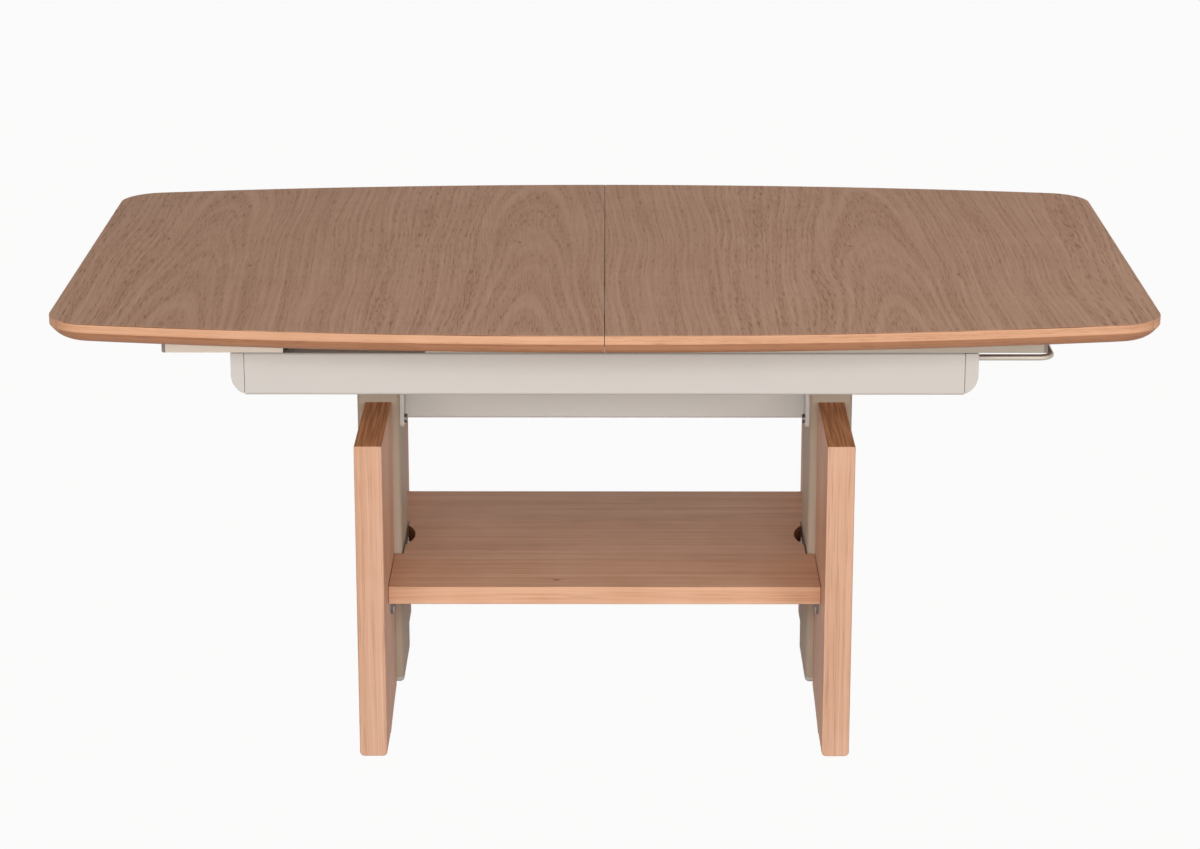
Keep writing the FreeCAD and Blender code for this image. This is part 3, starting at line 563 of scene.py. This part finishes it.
# Plain sliced balancing veneer under the particle board: the same wood, duller and rougher.
BACKING = Wood(
    "oak_backing_veneer", "#C69C80", 0.65, specular=0.25, dark="#A67D62", end="#B08A6E", end_dark="#8F6B51",
    grain=Grain.ALONG_Y, stave=210.0, stave_shift=0.4, beside=0.0, heart=-440.0, taper=0.05, wander=8.0,
    band=8.0,
)
# Turned beech: pale, with short fine flecks along the dowel.
BEECH = Wood(
    "turned_beech", "#D9B48C", 0.5, specular=0.3, dark="#C79C70", pore="#A77B52", end="#B58C62",
    end_dark="#94704C", stave=400.0, pore_length=6.0,
)
# Satin powder coat on steel: a pale grey with a faint orange peel.
POWDER_COAT = Grained("satin_powder_coat", "#CFCEC9", 0.45, specular=0.4, grit=1.6, depth=0.012)
# The same coat on the columns, painted darker and warmer: painted shade, tinted as by light off the oak
# boards; more matt.
SHADED_COLUMN_COAT = Grained("sand_grey_powder_coat", "#BFB19F", 0.6, specular=0.15, grit=1.6, depth=0.012)
# The same coat on the crossbeam, painted paler: painted light where the crossbeam lies in the top's shade.
LIT_CROSSBEAM_COAT = Grained("pale_powder_coat", "#DEDFDB", 0.45, specular=0.4, grit=1.6, depth=0.012)
# Powder coat of the inner columns, polished a little by the guides.
INNER_COAT = Grained("polished_powder_coat", "#C9C4BD", 0.38, grit=1.6, depth=0.008)
# Moulded satin plastic: the grey of the coat, a little softer in its shine.
CAP_PLASTIC = Grained("moulded_satin_plastic", "#CFCEC9", 0.5, specular=0.4, grit=0.9, depth=0.008)
# Moulded nylon of the runner caps: a darker grey, half matt.
CAP_NYLON = Grained("moulded_grey_nylon", "#8E8A86", 0.5, specular=0.4, grit=0.9, depth=0.008)
# Hard brown nylon of the foot glides: half matt, finely grained.
NYLON = Grained("hard_nylon", "#4D433A", 0.5, grit=0.8)
# Moulded acetal: milky and waxy.
ACETAL = Grained("moulded_acetal", "#E2DFD8", 0.4, grit=1.2, depth=0.006, cloud_share=0.04)
# Gloss black paint on the gas cylinders: clear highlights, a faint orange peel.
BLACK_PAINT = Grained("gloss_black_paint", "#141414", 0.25, grit=2.4, depth=0.006)
# Moulded black rubber: matt.
RUBBER = Grained("matt_rubber", "#1C1B1A", 0.75, specular=0.3, grit=1.0, depth=0.02)
# Dark brown foam on the seam face: painted shade, so the seam reads as a dark shadow line; matt, with fine
# open cells.
SEAM_SHADE_FOAM = Grained("brown_cell_foam", "#33221A", 0.9, specular=0.1, grit=0.8, depth=0.02)
# Anodised aluminium, extruded: satin, with die lines along the runner.
ALUMINIUM = Drawn("anodised_aluminium", "#978C7F", 0.45, length=32.0)
# Blasted aluminium of the support bars: paler and more matt.
BLASTED = Drawn("blasted_aluminium", "#C0B3A5", 0.6, length=18.0)
# Satin chrome plate on drawn rod: a soft shine with faint grinding lines.
CHROME = Drawn("satin_chrome", "#C4BBAF", 0.55, gloss_share=0.1, depth=0.001)
# Zinc-plated steel: dull grey, half matt, faintly cloudy.
ZINC = Drawn(
    "zinc_plated_steel", "#807C78", 0.45, grain=Grain.ALONG_Z, length=1.2, cloud=6.0, cloud_share=0.15
)

SLOT_FINISH: dict[str, Finish] = {
    "oak_veneer": VENEER,
    "oak_solid": BOARD,
    "core_board": BACKING,
    "beech_dowel": BEECH,
    "grey_lacquer": POWDER_COAT,
    "grey_cap_plastic": CAP_PLASTIC,
    "guide_plastic": ACETAL,
    "runner_aluminium": ALUMINIUM,
    "inner_column_steel": INNER_COAT,
    "zinc_steel": ZINC,
    "chrome_rod": CHROME,
    "black_cylinder": BLACK_PAINT,
    "foot_plastic": NYLON,
    "buffer_rubber": RUBBER,
}
NODE_FINISH: dict[str, Finish] = {
    "left_runner_caps": CAP_NYLON,
    "right_runner_caps": CAP_NYLON,
    "left_support_bar": BLASTED,
    "right_support_bar": BLASTED,
    # Painted shade on the columns.
    "left_column": SHADED_COLUMN_COAT,
    "right_column": SHADED_COLUMN_COAT,
    # Painted light on the crossbeam.
    "crossbeam": LIT_CROSSBEAM_COAT,
}


def start(
    adder: Callable[..., set], name: str, size: Sequence[float] = (1.0, 1.0, 1.0), **settings: object
) -> Piece:
    """Add a primitive with nothing else selected, and put its place and size into its mesh.

    Args:
        adder: Operator that adds the primitive.
        name: Name of the new piece.
        size: Factors along the three axes.
        settings: Settings of the operator.

    Returns:
        The new piece, in object mode.
    """
    bpy.ops.object.select_all(action="DESELECT")
    adder(**settings)
    piece = bpy.context.object
    piece.name = piece.data.name = name
    piece.scale = size
    bpy.ops.object.transform_apply()
    return piece


def start_box(name: str, low: Vector, high: Vector) -> Piece:
    """Add a cube that fills the room between two corners."""
    return start(bpy.ops.mesh.primitive_cube_add, name, (high - low) / 2, location=(low + high) / 2)


def only(piece: Piece) -> None:
    """Select one piece alone and make it active.

    Args:
        piece: The piece to select.
    """
    bpy.ops.object.select_all(action="DESELECT")
    piece.select_set(True)
    bpy.context.view_layer.objects.active = piece


def edit(piece: Piece) -> None:
    """Enter edit mode on one piece alone."""
    only(piece)
    bpy.ops.object.mode_set(mode="EDIT")


def leave() -> None:
    """Go back to object mode."""
    bpy.ops.object.mode_set(mode="OBJECT")


def pick(piece: Piece, part: Part, test: Test) -> None:
    """Select in edit mode the corners, edges or faces that pass a test.

    Args:
        piece: The piece in edit mode.
        part: What to select.
        test: Takes the middle of a part and its direction (an edge) or normal (the others).
    """
    bpy.ops.mesh.select_mode(type=part.name)
    bpy.ops.mesh.select_all(action="DESELECT")
    mesh = bmesh.from_edit_mesh(piece.data)
    for item in getattr(mesh, part.value):
        if part is Part.EDGE:
            ends = [corner.co for corner in item.verts]
            middle, way = (ends[0] + ends[1]) / 2, (ends[1] - ends[0]).normalized()
        elif part is Part.FACE:
            middle, way = item.calc_center_median(), item.normal
        else:
            middle, way = item.co, item.normal
        item.select_set(bool(test(middle, way)))
    mesh.select_flush_mode()
    bmesh.update_edit_mesh(piece.data)


def pick_all() -> None:
    """Select the whole mesh in edit mode."""
    bpy.ops.mesh.select_all(action="SELECT")


def extrude(*move: float) -> None:
    """Extrude what is selected by a move along the three axes."""
    bpy.ops.mesh.extrude_region_move(TRANSFORM_OT_translate={"value": move})


def close() -> None:
    """Merge doubles, turn all faces outwards and leave edit mode."""
    bpy.ops.mesh.select_mode(type="FACE")
    pick_all()
    bpy.ops.mesh.remove_doubles(threshold=NEAR)
    bpy.ops.mesh.normals_make_consistent(inside=False)
    leave()


def copy_of(piece: Piece, name: str, move: Matrix = Matrix.Identity(4)) -> Piece:
    """Copy a piece with a mesh of its own.

    Args:
        piece: The piece to copy.
        name: Name of the copy.
        move: Where the copy's mesh goes from the first one's place.

    Returns:
        The copy.
    """
    twin = piece.copy()
    twin.data = piece.data.copy()
    twin.name = twin.data.name = name
    twin.data.transform(move)
    bpy.context.scene.collection.objects.link(twin)
    return twin


def modify(piece: Piece, kind: str, **settings: object) -> None:
    """Finish a piece with one modifier.

    Args:
        piece: The piece, in object mode.
        kind: Type of the modifier.
        settings: Its settings.
    """
    only(piece)
    bpy.ops.object.modifier_add(type=kind)
    modifier = piece.modifiers[-1]
    for name, value in settings.items():
        setattr(modifier, name, value)
    bpy.ops.object.modifier_apply(modifier=modifier.name)


def cut(piece: Piece, cutter: Piece) -> None:
    """Cut one piece out of another and remove the cutter."""
    modify(piece, "BOOLEAN", operation="DIFFERENCE", solver="EXACT", object=cutter)
    bpy.data.objects.remove(cutter)


def ease(piece: Piece, width: float, steps: int) -> None:
    """Round the sharp edges of a piece, with so many faces across each rounding."""
    limit = {"limit_method": "ANGLE", "angle_limit": math.radians(ROUND_ANGLE)}
    modify(piece, "BEVEL", width=width, segments=steps, use_clamp_overlap=True, **limit)


def dress(piece: Piece, finish: Finish, body: str, nodes: Sequence[str] = ()) -> None:
    """Finish a modelled piece: smooth shading, material, body and what it stands for.

    Args:
        piece: The modelled piece.
        finish: Its finish.
        body: The body that it moves with.
        nodes: Solids that it replaces.
    """
    only(piece)
    bpy.ops.object.shade_smooth_by_angle(angle=math.radians(SHARP_ANGLE))
    modify(piece, "WEIGHTED_NORMAL", keep_sharp=True)
    piece.data.materials.clear()
    piece.data.materials.append(finish.material())
    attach(piece, body)
    if nodes:
        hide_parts(*nodes)
    LOG.info("modelled %s: %d faces in %s", piece.name, len(piece.data.polygons), finish.name)


@dataclass
class TableTop:
    """The two halves of the top: a veneered face and a strip of solid oak round the edge."""

    side_bow: float = 55.0 * MM
    rim_corner: float = 52.0 * MM
    turn_inset: float = 10.0 * MM
    turn_height: float = 4.0 * MM
    turn_round: float = 6.0 * MM
    bevel_inset: float = 24.0 * MM
    strip_width: float = 40.0 * MM
    band_height: float = 10.0 * MM
    rim_round: float = 0.7 * MM
    edge_round: float = 0.8 * MM
    seam_round: float = 0.3 * MM
    overrun: float = 5.0 * MM
    stations: int = 24
    corner_steps: int = 12
    round_steps: int = 4
    seam_steps: int = 2

    def __post_init__(self) -> None:
        """Take the outer sizes and heights from the frame."""
        low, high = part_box("right_veneer")
        self.seam, self.half_length, self.half_width = low.x, high.x, high.y
        self.face_bottom, self.face_top = low.z, high.z
        self.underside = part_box("right_lipping")[0].z
        self.side_radius = arc_radius(self.half_length, self.side_bow)

    def reach(self, x: float, inset: float) -> float:
        """Give the half width of the outline, some way inside the edge, at a place along the table."""
        radius = self.side_radius - inset
        return math.sqrt(radius ** 2 - x ** 2) - self.side_radius + self.half_width

    def outline(self, name: str, inset: float, rounding: float, height: float) -> Piece:
        """Model the bowed outline of the whole top as one flat face.

        Args:
            name: Name of the new piece.
            inset: How far inside the edge the outline runs.
            rounding: Radius of its corners.
            height: Its height.

        Returns:
            The face, in edit mode and selected all over.
        """
        end, middle = self.half_length - inset, self.half_width - inset
        centre = (0.0, 0.0, height)
        sheet = start(bpy.ops.mesh.primitive_plane_add, name, (end, middle, 1.0), location=centre)
        edit(sheet)
        pick(sheet, Part.EDGE, lambda place, way: abs(way.x) > ALONG)
        bpy.ops.mesh.subdivide(number_cuts=self.stations - 1)
        for station in range(self.stations // 2 + 1):
            x = end * 2 * station / self.stations
            pick(sheet, Part.VERT, lambda place, way: abs(abs(place.x) - x) < NEAR)
            share = self.reach(x, inset) / middle
            bpy.ops.transform.resize(value=(1.0, share, 1.0), center_override=centre)
        pick(sheet, Part.EDGE, lambda place, way: abs(way.y) > ALONG and abs(place.x) < end - NEAR)
        bpy.ops.mesh.dissolve_edges(use_verts=False)
        slope = math.asin(end / (self.side_radius - inset))
        setback = rounding * math.tan((math.pi / 2 - slope) / 2)
        pick(sheet, Part.VERT, lambda place, way: abs(place.x) > end - NEAR)
        bpy.ops.mesh.bevel(affect="VERTICES", offset=setback, segments=self.corner_steps)
        pick_all()
        return sheet

    def halved(self, whole: Piece, side: Side, name: str) -> Piece:
        """Cut one half from a copy of the whole top at the seam, and ease its upper edge there.

        Args:
            whole: The whole top.
            side: The half to keep.
            name: Name of the half.

        Returns:
            The half, in object mode.
        """
        half = copy_of(whole, name)
        edit(half)
        pick_all()
        bpy.ops.mesh.bisect(
            plane_co=(side.value * self.seam, 0.0, 0.0),
            plane_no=(side.value, 0.0, 0.0),
            use_fill=True,
            clear_inner=True,
        )
        pick(half, Part.EDGE, lambda place, way: abs(abs(place.x) - self.seam) < NEAR and abs(way.y) > ALONG
             and abs(place.z - self.face_top) < NEAR)
        if any(edge.select for edge in bmesh.from_edit_mesh(half.data).edges):
            bpy.ops.mesh.bevel(offset=self.seam_round, segments=self.seam_steps)
        close()
        return half

    def face(self) -> Piece:
        """Model the veneer of the whole top, its rim rounded.

        Returns:
            The veneer, in object mode.
        """
        sheet = self.outline("whole_veneer", 0.0, self.rim_corner, self.face_bottom)
        extrude(0.0, 0.0, self.face_top - self.face_bottom)
        pick(sheet, Part.EDGE, lambda place, way: place.z > self.face_top - NEAR)
        bpy.ops.mesh.bevel(offset=self.rim_round, segments=self.round_steps)
        close()
        return sheet

    def make_room(self, strip: Piece) -> None:
        """Cut the room for the core out of the strip.

        Args:
            strip: The strip, solid so far.
        """
        corner = self.rim_corner - self.strip_width
        room = self.outline("core_room", self.strip_width, corner, self.underside - self.overrun)
        extrude(0.0, 0.0, self.face_bottom - self.underside + 2 * self.overrun)
        close()
        cut(strip, room)
        edit(strip)
        close()

    def strip(self) -> Piece:
        """Model the strip round the whole top: an upright band over a wide bevel, steep and then flat.

        Returns:
            The strip, in object mode.
        """
        outer = self.outline("whole_strip", 0.0, self.rim_corner, self.face_bottom)
        band_bottom = self.face_top - self.band_height
        turn = self.underside + self.turn_height
        extrude(0.0, 0.0, band_bottom - self.face_bottom)
        leave()
        level = band_bottom
        for inset, height in ((self.turn_inset, turn), (self.bevel_inset, self.underside)):
            lower = self.outline("lower_edge", inset, self.rim_corner - inset, height)
            leave()
            only(outer)
            lower.select_set(True)
            bpy.ops.object.join()
            edit(outer)
            pick(outer, Part.FACE, lambda place, way: abs(way.z) > FLAT and place.z < level + NEAR)
            bpy.ops.mesh.bridge_edge_loops()
            pick(outer, Part.EDGE, lambda place, way: abs(way.z) < LEVEL and place.z < height + NEAR)
            bpy.ops.mesh.edge_face_add()
            close()
            level = height
        roundings = {turn: self.turn_round, band_bottom: self.edge_round, self.underside: self.edge_round}
        for height, rounding in roundings.items():
            edit(outer)
            pick(outer, Part.EDGE, lambda place, way: abs(way.z) < LEVEL and abs(place.z - height) < NEAR)
            bpy.ops.mesh.bevel(offset=rounding, segments=self.round_steps)
            close()
        self.make_room(outer)
        return outer

    def build(self) -> None:
        """Model and dress both halves."""
        face, strip = self.face(), self.strip()
        for side in Side:
            body = f"{side.word}_half"
            veneer = self.halved(face, side, f"{side.word}_top_veneer")
            dress(veneer, VENEER, body, [f"{side.word}_veneer"])
            edging = self.halved(strip, side, f"{side.word}_edge_strip")
            dress(edging, LIPPING, body, [f"{side.word}_lipping"])
        for whole in (face, strip):
            bpy.data.objects.remove(whole)


@dataclass
class SeamSeal:
    """A thin dark foam strip on the left half's seam face: painted shade, a fine dark line between the
    closed halves where the seam's shadow falls.
    """

    thickness: float = 0.7 * MM
    height: float = 12.0 * MM
    below_face: float = 0.6 * MM
    end_margin: float = 2.0 * MM
    edge_round: float = 0.2 * MM
    round_steps: int = 2

    def build(self) -> None:
        """Model and dress the strip."""
        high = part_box("left_veneer")[1]
        reach, top = high.y - self.end_margin, high.z - self.below_face
        strip = start_box(
            "seam_foam_strip",
            Vector((high.x, -reach, top - self.height)),
            Vector((high.x + self.thickness, reach, top)),
        )
        edit(strip)
        pick(strip, Part.EDGE, lambda place, way: place.x > high.x + NEAR and abs(way.x) < SQUARE)
        bpy.ops.mesh.bevel(offset=self.edge_round, segments=self.round_steps)
        close()
        dress(strip, SEAM_SHADE_FOAM, "left_half")


@dataclass
class BeamCaps:
    """Moulded caps that close the ends of the two beams, each with a fine open joint to its beam."""

    corner_radius: float = 22.0 * MM
    corner_steps: int = 16
    joint: float = 0.5 * MM
    edge_round: float = 0.8 * MM
    round_steps: int = 3
    spigot_margin: float = 3.5 * MM
    spigot_length: float = 12.0 * MM

    def first(self) -> Piece:
        """Model the front right cap.

        Returns:
            The cap, in object mode.
        """
        low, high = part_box("front_right_beam_cap")
        beam_low, beam_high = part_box("front_beam")
        start_low = Vector((high.x - self.corner_radius, low.y, beam_low.z))
        cap = start_box("first_cap", start_low, Vector((high.x, high.y, beam_high.z)))
        edit(cap)
        pick(cap, Part.EDGE, lambda place, way: abs(way.y) > ALONG and place.x > high.x - NEAR
             and place.z < beam_low.z + NEAR)
        bpy.ops.mesh.bevel(offset=self.corner_radius, segments=self.corner_steps)
        pick_all()
        bpy.ops.mesh.bisect(
            plane_co=(beam_high.x + self.joint, 0.0, 0.0),
            plane_no=(1.0, 0.0, 0.0),
            use_fill=True,
            clear_inner=True,
        )
        close()
        ease(cap, self.edge_round, self.round_steps)
        edit(cap)
        pick(cap, Part.FACE, lambda place, way: way.x < -FLAT)
        bpy.ops.mesh.inset(thickness=self.spigot_margin)
        extrude(-self.spigot_length, 0.0, 0.0)
        close()
        return cap

    def build(self) -> None:
        """Model and dress the four caps."""
        first = self.first()
        for side in Side:
            for place, sign in (("front", 1), ("rear", -1)):
                mirror = Matrix.Diagonal((side.value, sign, 1, 1))
                cap = copy_of(first, f"{place}_{side.word}_moulded_cap", mirror)
                edit(cap)
                close()
                node = f"{place}_{side.word}_beam_cap"
                dress(cap, CAP_PLASTIC, "lift_frame", [node])
        bpy.data.objects.remove(first)


@dataclass
class BarBumpers:
    """A small rubber bumper at the inner end of each half's short support bar."""

    length: float = 6.0 * MM
    margin: float = 2.5 * MM
    edge_round: float = 1.0 * MM
    round_steps: int = 3

    def build(self) -> None:
        """Model and dress both bumpers."""
        for side in Side:
            low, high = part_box(f"{side.word}_support_bar")
            edge = Vector((0.0, self.margin, self.margin))
            low, high = low + edge, high - edge
            if side is Side.LEFT:
                low.x, high.x = high.x, high.x + self.length
            else:
                low.x, high.x = low.x - self.length, low.x
            bumper = start_box(f"{side.word}_bar_bumper", low, high)
            edit(bumper)
            pick(bumper, Part.EDGE, lambda place, way: abs(way.x) < SQUARE)
            bpy.ops.mesh.bevel(offset=self.edge_round, segments=self.round_steps)
            close()
            dress(bumper, RUBBER, f"{side.word}_half")


@dataclass
class LegBoards:
    """The four upright boards of the legs, with an arch under each pair."""

    foot_length: float = 65.0 * MM
    arch_rise: float = 20.0 * MM
    arch_steps: int = 16
    foot_round: float = 5.0 * MM
    foot_steps: int = 6
    edge_round: float = 1.2 * MM
    round_steps: int = 3

    def first(self) -> Piece:
        """Model the left front board.

        Returns:
            The board, in object mode.
        """
        low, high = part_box("left_front_board")
        board = start_box("first_board", low, high)
        edit(board)
        foot_end = low.y + self.foot_length
        pick_all()
        bpy.ops.mesh.bisect(plane_co=(0.0, foot_end, 0.0), plane_no=(0.0, 1.0, 0.0))
        pick(board, Part.EDGE, lambda place, way: abs(way.y) > ALONG and place.z < low.z + NEAR
             and place.y > foot_end)
        bpy.ops.mesh.subdivide(number_cuts=self.arch_steps - 1)
        radius = arc_radius(-foot_end, self.arch_rise)
        for step in range(1, self.arch_steps + 1):
            y = foot_end + (high.y - foot_end) * step / self.arch_steps
            rise = math.sqrt(radius ** 2 - y ** 2) - radius + self.arch_rise
            pick(board, Part.VERT, lambda place, way: abs(place.y - y) < NEAR and place.z < low.z + NEAR)
            bpy.ops.transform.translate(value=(0.0, 0.0, rise))
        pick(board, Part.EDGE, lambda place, way: abs(way.y) > ALONG and place.z < low.z + NEAR
             and place.y < foot_end - NEAR)
        bpy.ops.mesh.bevel(offset=self.foot_round, segments=self.foot_steps)
        close()
        ease(board, self.edge_round, self.round_steps)
        return board

    def build(self) -> None:
        """Model and dress the four boards."""
        first = self.first()
        low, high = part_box("left_front_board")
        middle = (low.x + high.x) / 2
        home = Matrix.Translation((-middle, 0.0, 0.0))
        for side in Side:
            there = Matrix.Translation((side.value * abs(middle), 0.0, 0.0))
            for place, turn in (("front", 0.0), ("rear", math.pi)):
                move = there @ Matrix.Rotation(turn, 4, "Z") @ home
                board = copy_of(first, f"{side.word}_{place}_leg_board", move)
                dress(board, BOARD, "base", [f"{side.word}_{place}_board"])
        bpy.data.objects.remove(first)


@dataclass
class Shelf:
    """The shelf between the legs, notched round the columns, with a hollow beside each."""

    gap: float = 1.5 * MM
    hollow_chord: float = 80.0 * MM
    hollow_sag: float = 11.5 * MM
    hollow_offset: float = 8.0 * MM
    hollow_steps: int = 192
    edge_round: float = 1.2 * MM
    round_steps: int = 3
    overrun: float = 20.0 * MM

    def build(self) -> None:
        """Model and dress the shelf."""
        low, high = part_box("shelf")
        shelf = start_box("oak_shelf", low, high)
        column_low, column_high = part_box("right_column")
        radius = arc_radius(self.hollow_chord / 2, self.hollow_sag)
        hollow_x = column_low.x - self.hollow_sag + radius
        for side in Side:
            notch_low = Vector((column_low.x - self.gap, column_low.y - self.gap, low.z - self.overrun))
            notch_high = Vector((high.x + self.overrun, column_high.y + self.gap, high.z + self.overrun))
            if side is Side.LEFT:
                notch_low.x, notch_high.x = -notch_high.x, -notch_low.x
            cut(shelf, start_box("notch", notch_low, notch_high))
            hollow = start(
                bpy.ops.mesh.primitive_cylinder_add, "hollow", vertices=self.hollow_steps, radius=radius,
                depth=high.z - low.z + 2 * self.overrun,
                location=(side.value * hollow_x, self.hollow_offset, (low.z + high.z) / 2),
            )
            cut(shelf, hollow)
        edit(shelf)
        close()
        ease(shelf, self.edge_round, self.round_steps)
        dress(shelf, SHELF, "base", ["shelf"])


@dataclass(frozen=True)
class Lamp:
    """A large soft lamp that looks at the table, in metres and watts."""

    name: str
    place: tuple[float, float, float]
    power: float
    size: tuple[float, float]
    colour: str = WHITE


@dataclass(frozen=True)
class Studio:
    """Camera, soft light and pale floor, in metres, degrees and, for the lens, millimetres."""

    camera_place: tuple[float, float, float] = (0.002735, -3.74565, 1.42066)
    pitch_down: float = 16.336
    turn: float = 0.127
    lens: float = 99.42
    sensor: float = 36.0
    ambient: float = 0.09
    ambient_colour: str = "#FFEFE2"
    floor_half: float = 7.0
    floor_colour: str = "#AD8A70"
    floor_white_share: float = 0.96
    lamps: tuple[Lamp, ...] = (
        Lamp("front_lamp", (0.0, -4.2, 1.4), 88.0, (3.0, 2.2)),
        Lamp("left_lamp", (-2.7, -3.3, 1.4), 47.0, (2.2, 1.8)),
        Lamp("right_lamp", (2.7, -3.3, 1.4), 51.0, (2.2, 1.8)),
        Lamp("upper_lamp", (1.3, -0.5, 3.0), 18.5, (3.0, 2.4)),
        Lamp("back_lamp", (0.0, 3.5, 0.9), 15.0, (4.0, 1.4), "#FFD2AC"),
    )
    target: tuple[float, float, float] = (0.0, 0.0, 0.35)

    @staticmethod
    def seen(tree: Tree) -> Socket:
        """Tell what the camera, a mirror or glass sees from what only lights.

        Args:
            tree: The node tree.

        Returns:
            1 for what is seen, and 0 for what only lights.
        """
        path = add(tree, "LightPath").node.outputs
        seen = add(tree, "Math", path["Is Camera Ray"], path["Is Glossy Ray"], operation="MAXIMUM")
        return add(tree, "Math", seen, path["Is Transmission Ray"], operation="MAXIMUM")

    @staticmethod
    def show(tree: Tree, kind: str, shader: Socket) -> None:
        """Send a shader to the surface of the world or of a material."""
        end = tree.nodes.new("ShaderNodeOutput" + kind)
        tree.links.new(shader, end.inputs["Surface"])

    def camera(self) -> None:
        """Place the camera at the photograph's viewpoint."""
        data = bpy.data.cameras.new("camera")
        data.lens, data.sensor_width, data.sensor_fit = self.lens, self.sensor, "HORIZONTAL"
        camera = bpy.data.objects.new("camera", data)
        camera.location = self.camera_place
        camera.rotation_euler = (math.radians(90 - self.pitch_down), 0.0, math.radians(self.turn))
        bpy.context.scene.collection.objects.link(camera)
        bpy.context.scene.camera = camera

    def world(self) -> None:
        """Light the room softly from all round, and show white behind the table."""
        world = bpy.data.worlds.new("studio")
        bpy.context.scene.world = world
        world.use_nodes = True
        tree = world.node_tree
        tree.nodes.clear()
        light = add(tree, "Background", linear(self.ambient_colour), self.ambient)
        white = add(tree, "Background", linear(WHITE), 1.0)
        self.show(tree, "World", add(tree, "MixShader", self.seen(tree), light, white))

    def floor(self) -> None:
        """Lay the pale floor, which keeps a faint shadow."""
        floor = start(bpy.ops.mesh.primitive_plane_add, "floor", [self.floor_half] * 3)
        paint = bpy.data.materials.new("pale_floor_paint")
        paint.use_nodes = True
        tree = paint.node_tree
        tree.nodes.clear()
        matt = add(tree, "BsdfDiffuse", linear(self.floor_colour))
        white = add(tree, "Emission", linear(WHITE), 1.0)
        share = add(tree, "Math", self.seen(tree), self.floor_white_share, operation="MULTIPLY")
        self.show(tree, "Material", add(tree, "MixShader", share, matt, white))
        floor.data.materials.append(paint)

    def hang(self, lamp: Lamp) -> None:
        """Hang a lamp.

        Args:
            lamp: The lamp to hang.
        """
        data = bpy.data.lights.new(lamp.name, "AREA")
        data.shape, data.energy = "RECTANGLE", lamp.power
        data.size, data.size_y = lamp.size
        data.color = linear(lamp.colour)[:3]
        light = bpy.data.objects.new(lamp.name, data)
        light.location = lamp.place
        aim = Vector(self.target) - Vector(lamp.place)
        light.rotation_euler = aim.to_track_quat("-Z", "Y").to_euler()
        bpy.context.scene.collection.objects.link(light)

    def build(self) -> None:
        """Set up the whole studio."""
        bpy.context.scene.view_settings.view_transform = "Standard"
        self.camera()
        self.world()
        self.floor()
        for lamp in self.lamps:
            self.hang(lamp)


def dress_solids() -> None:
    """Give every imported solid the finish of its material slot, or one of its own."""
    for row in frame["record"]["subparts"]:
        node = frame["nodes"][row["node"]]
        finish = NODE_FINISH.get(row["node"], SLOT_FINISH[row["material_slot"]])
        for holder in node.material_slots:
            holder.material = finish.material()
        LOG.info("dressed %s in %s", row["node"], finish.name)


def main() -> None:
    """Dress the solids, build every sub-assembly and set up the studio."""
    logging.basicConfig(level=logging.INFO, format="%(message)s")
    dress_solids()
    TableTop().build()
    # A dark strip in the seam, as painted shade.
    SeamSeal().build()
    BarBumpers().build()
    BeamCaps().build()
    LegBoards().build()
    Shelf().build()
    Studio().build()


if __name__ == "__main__":
    main()
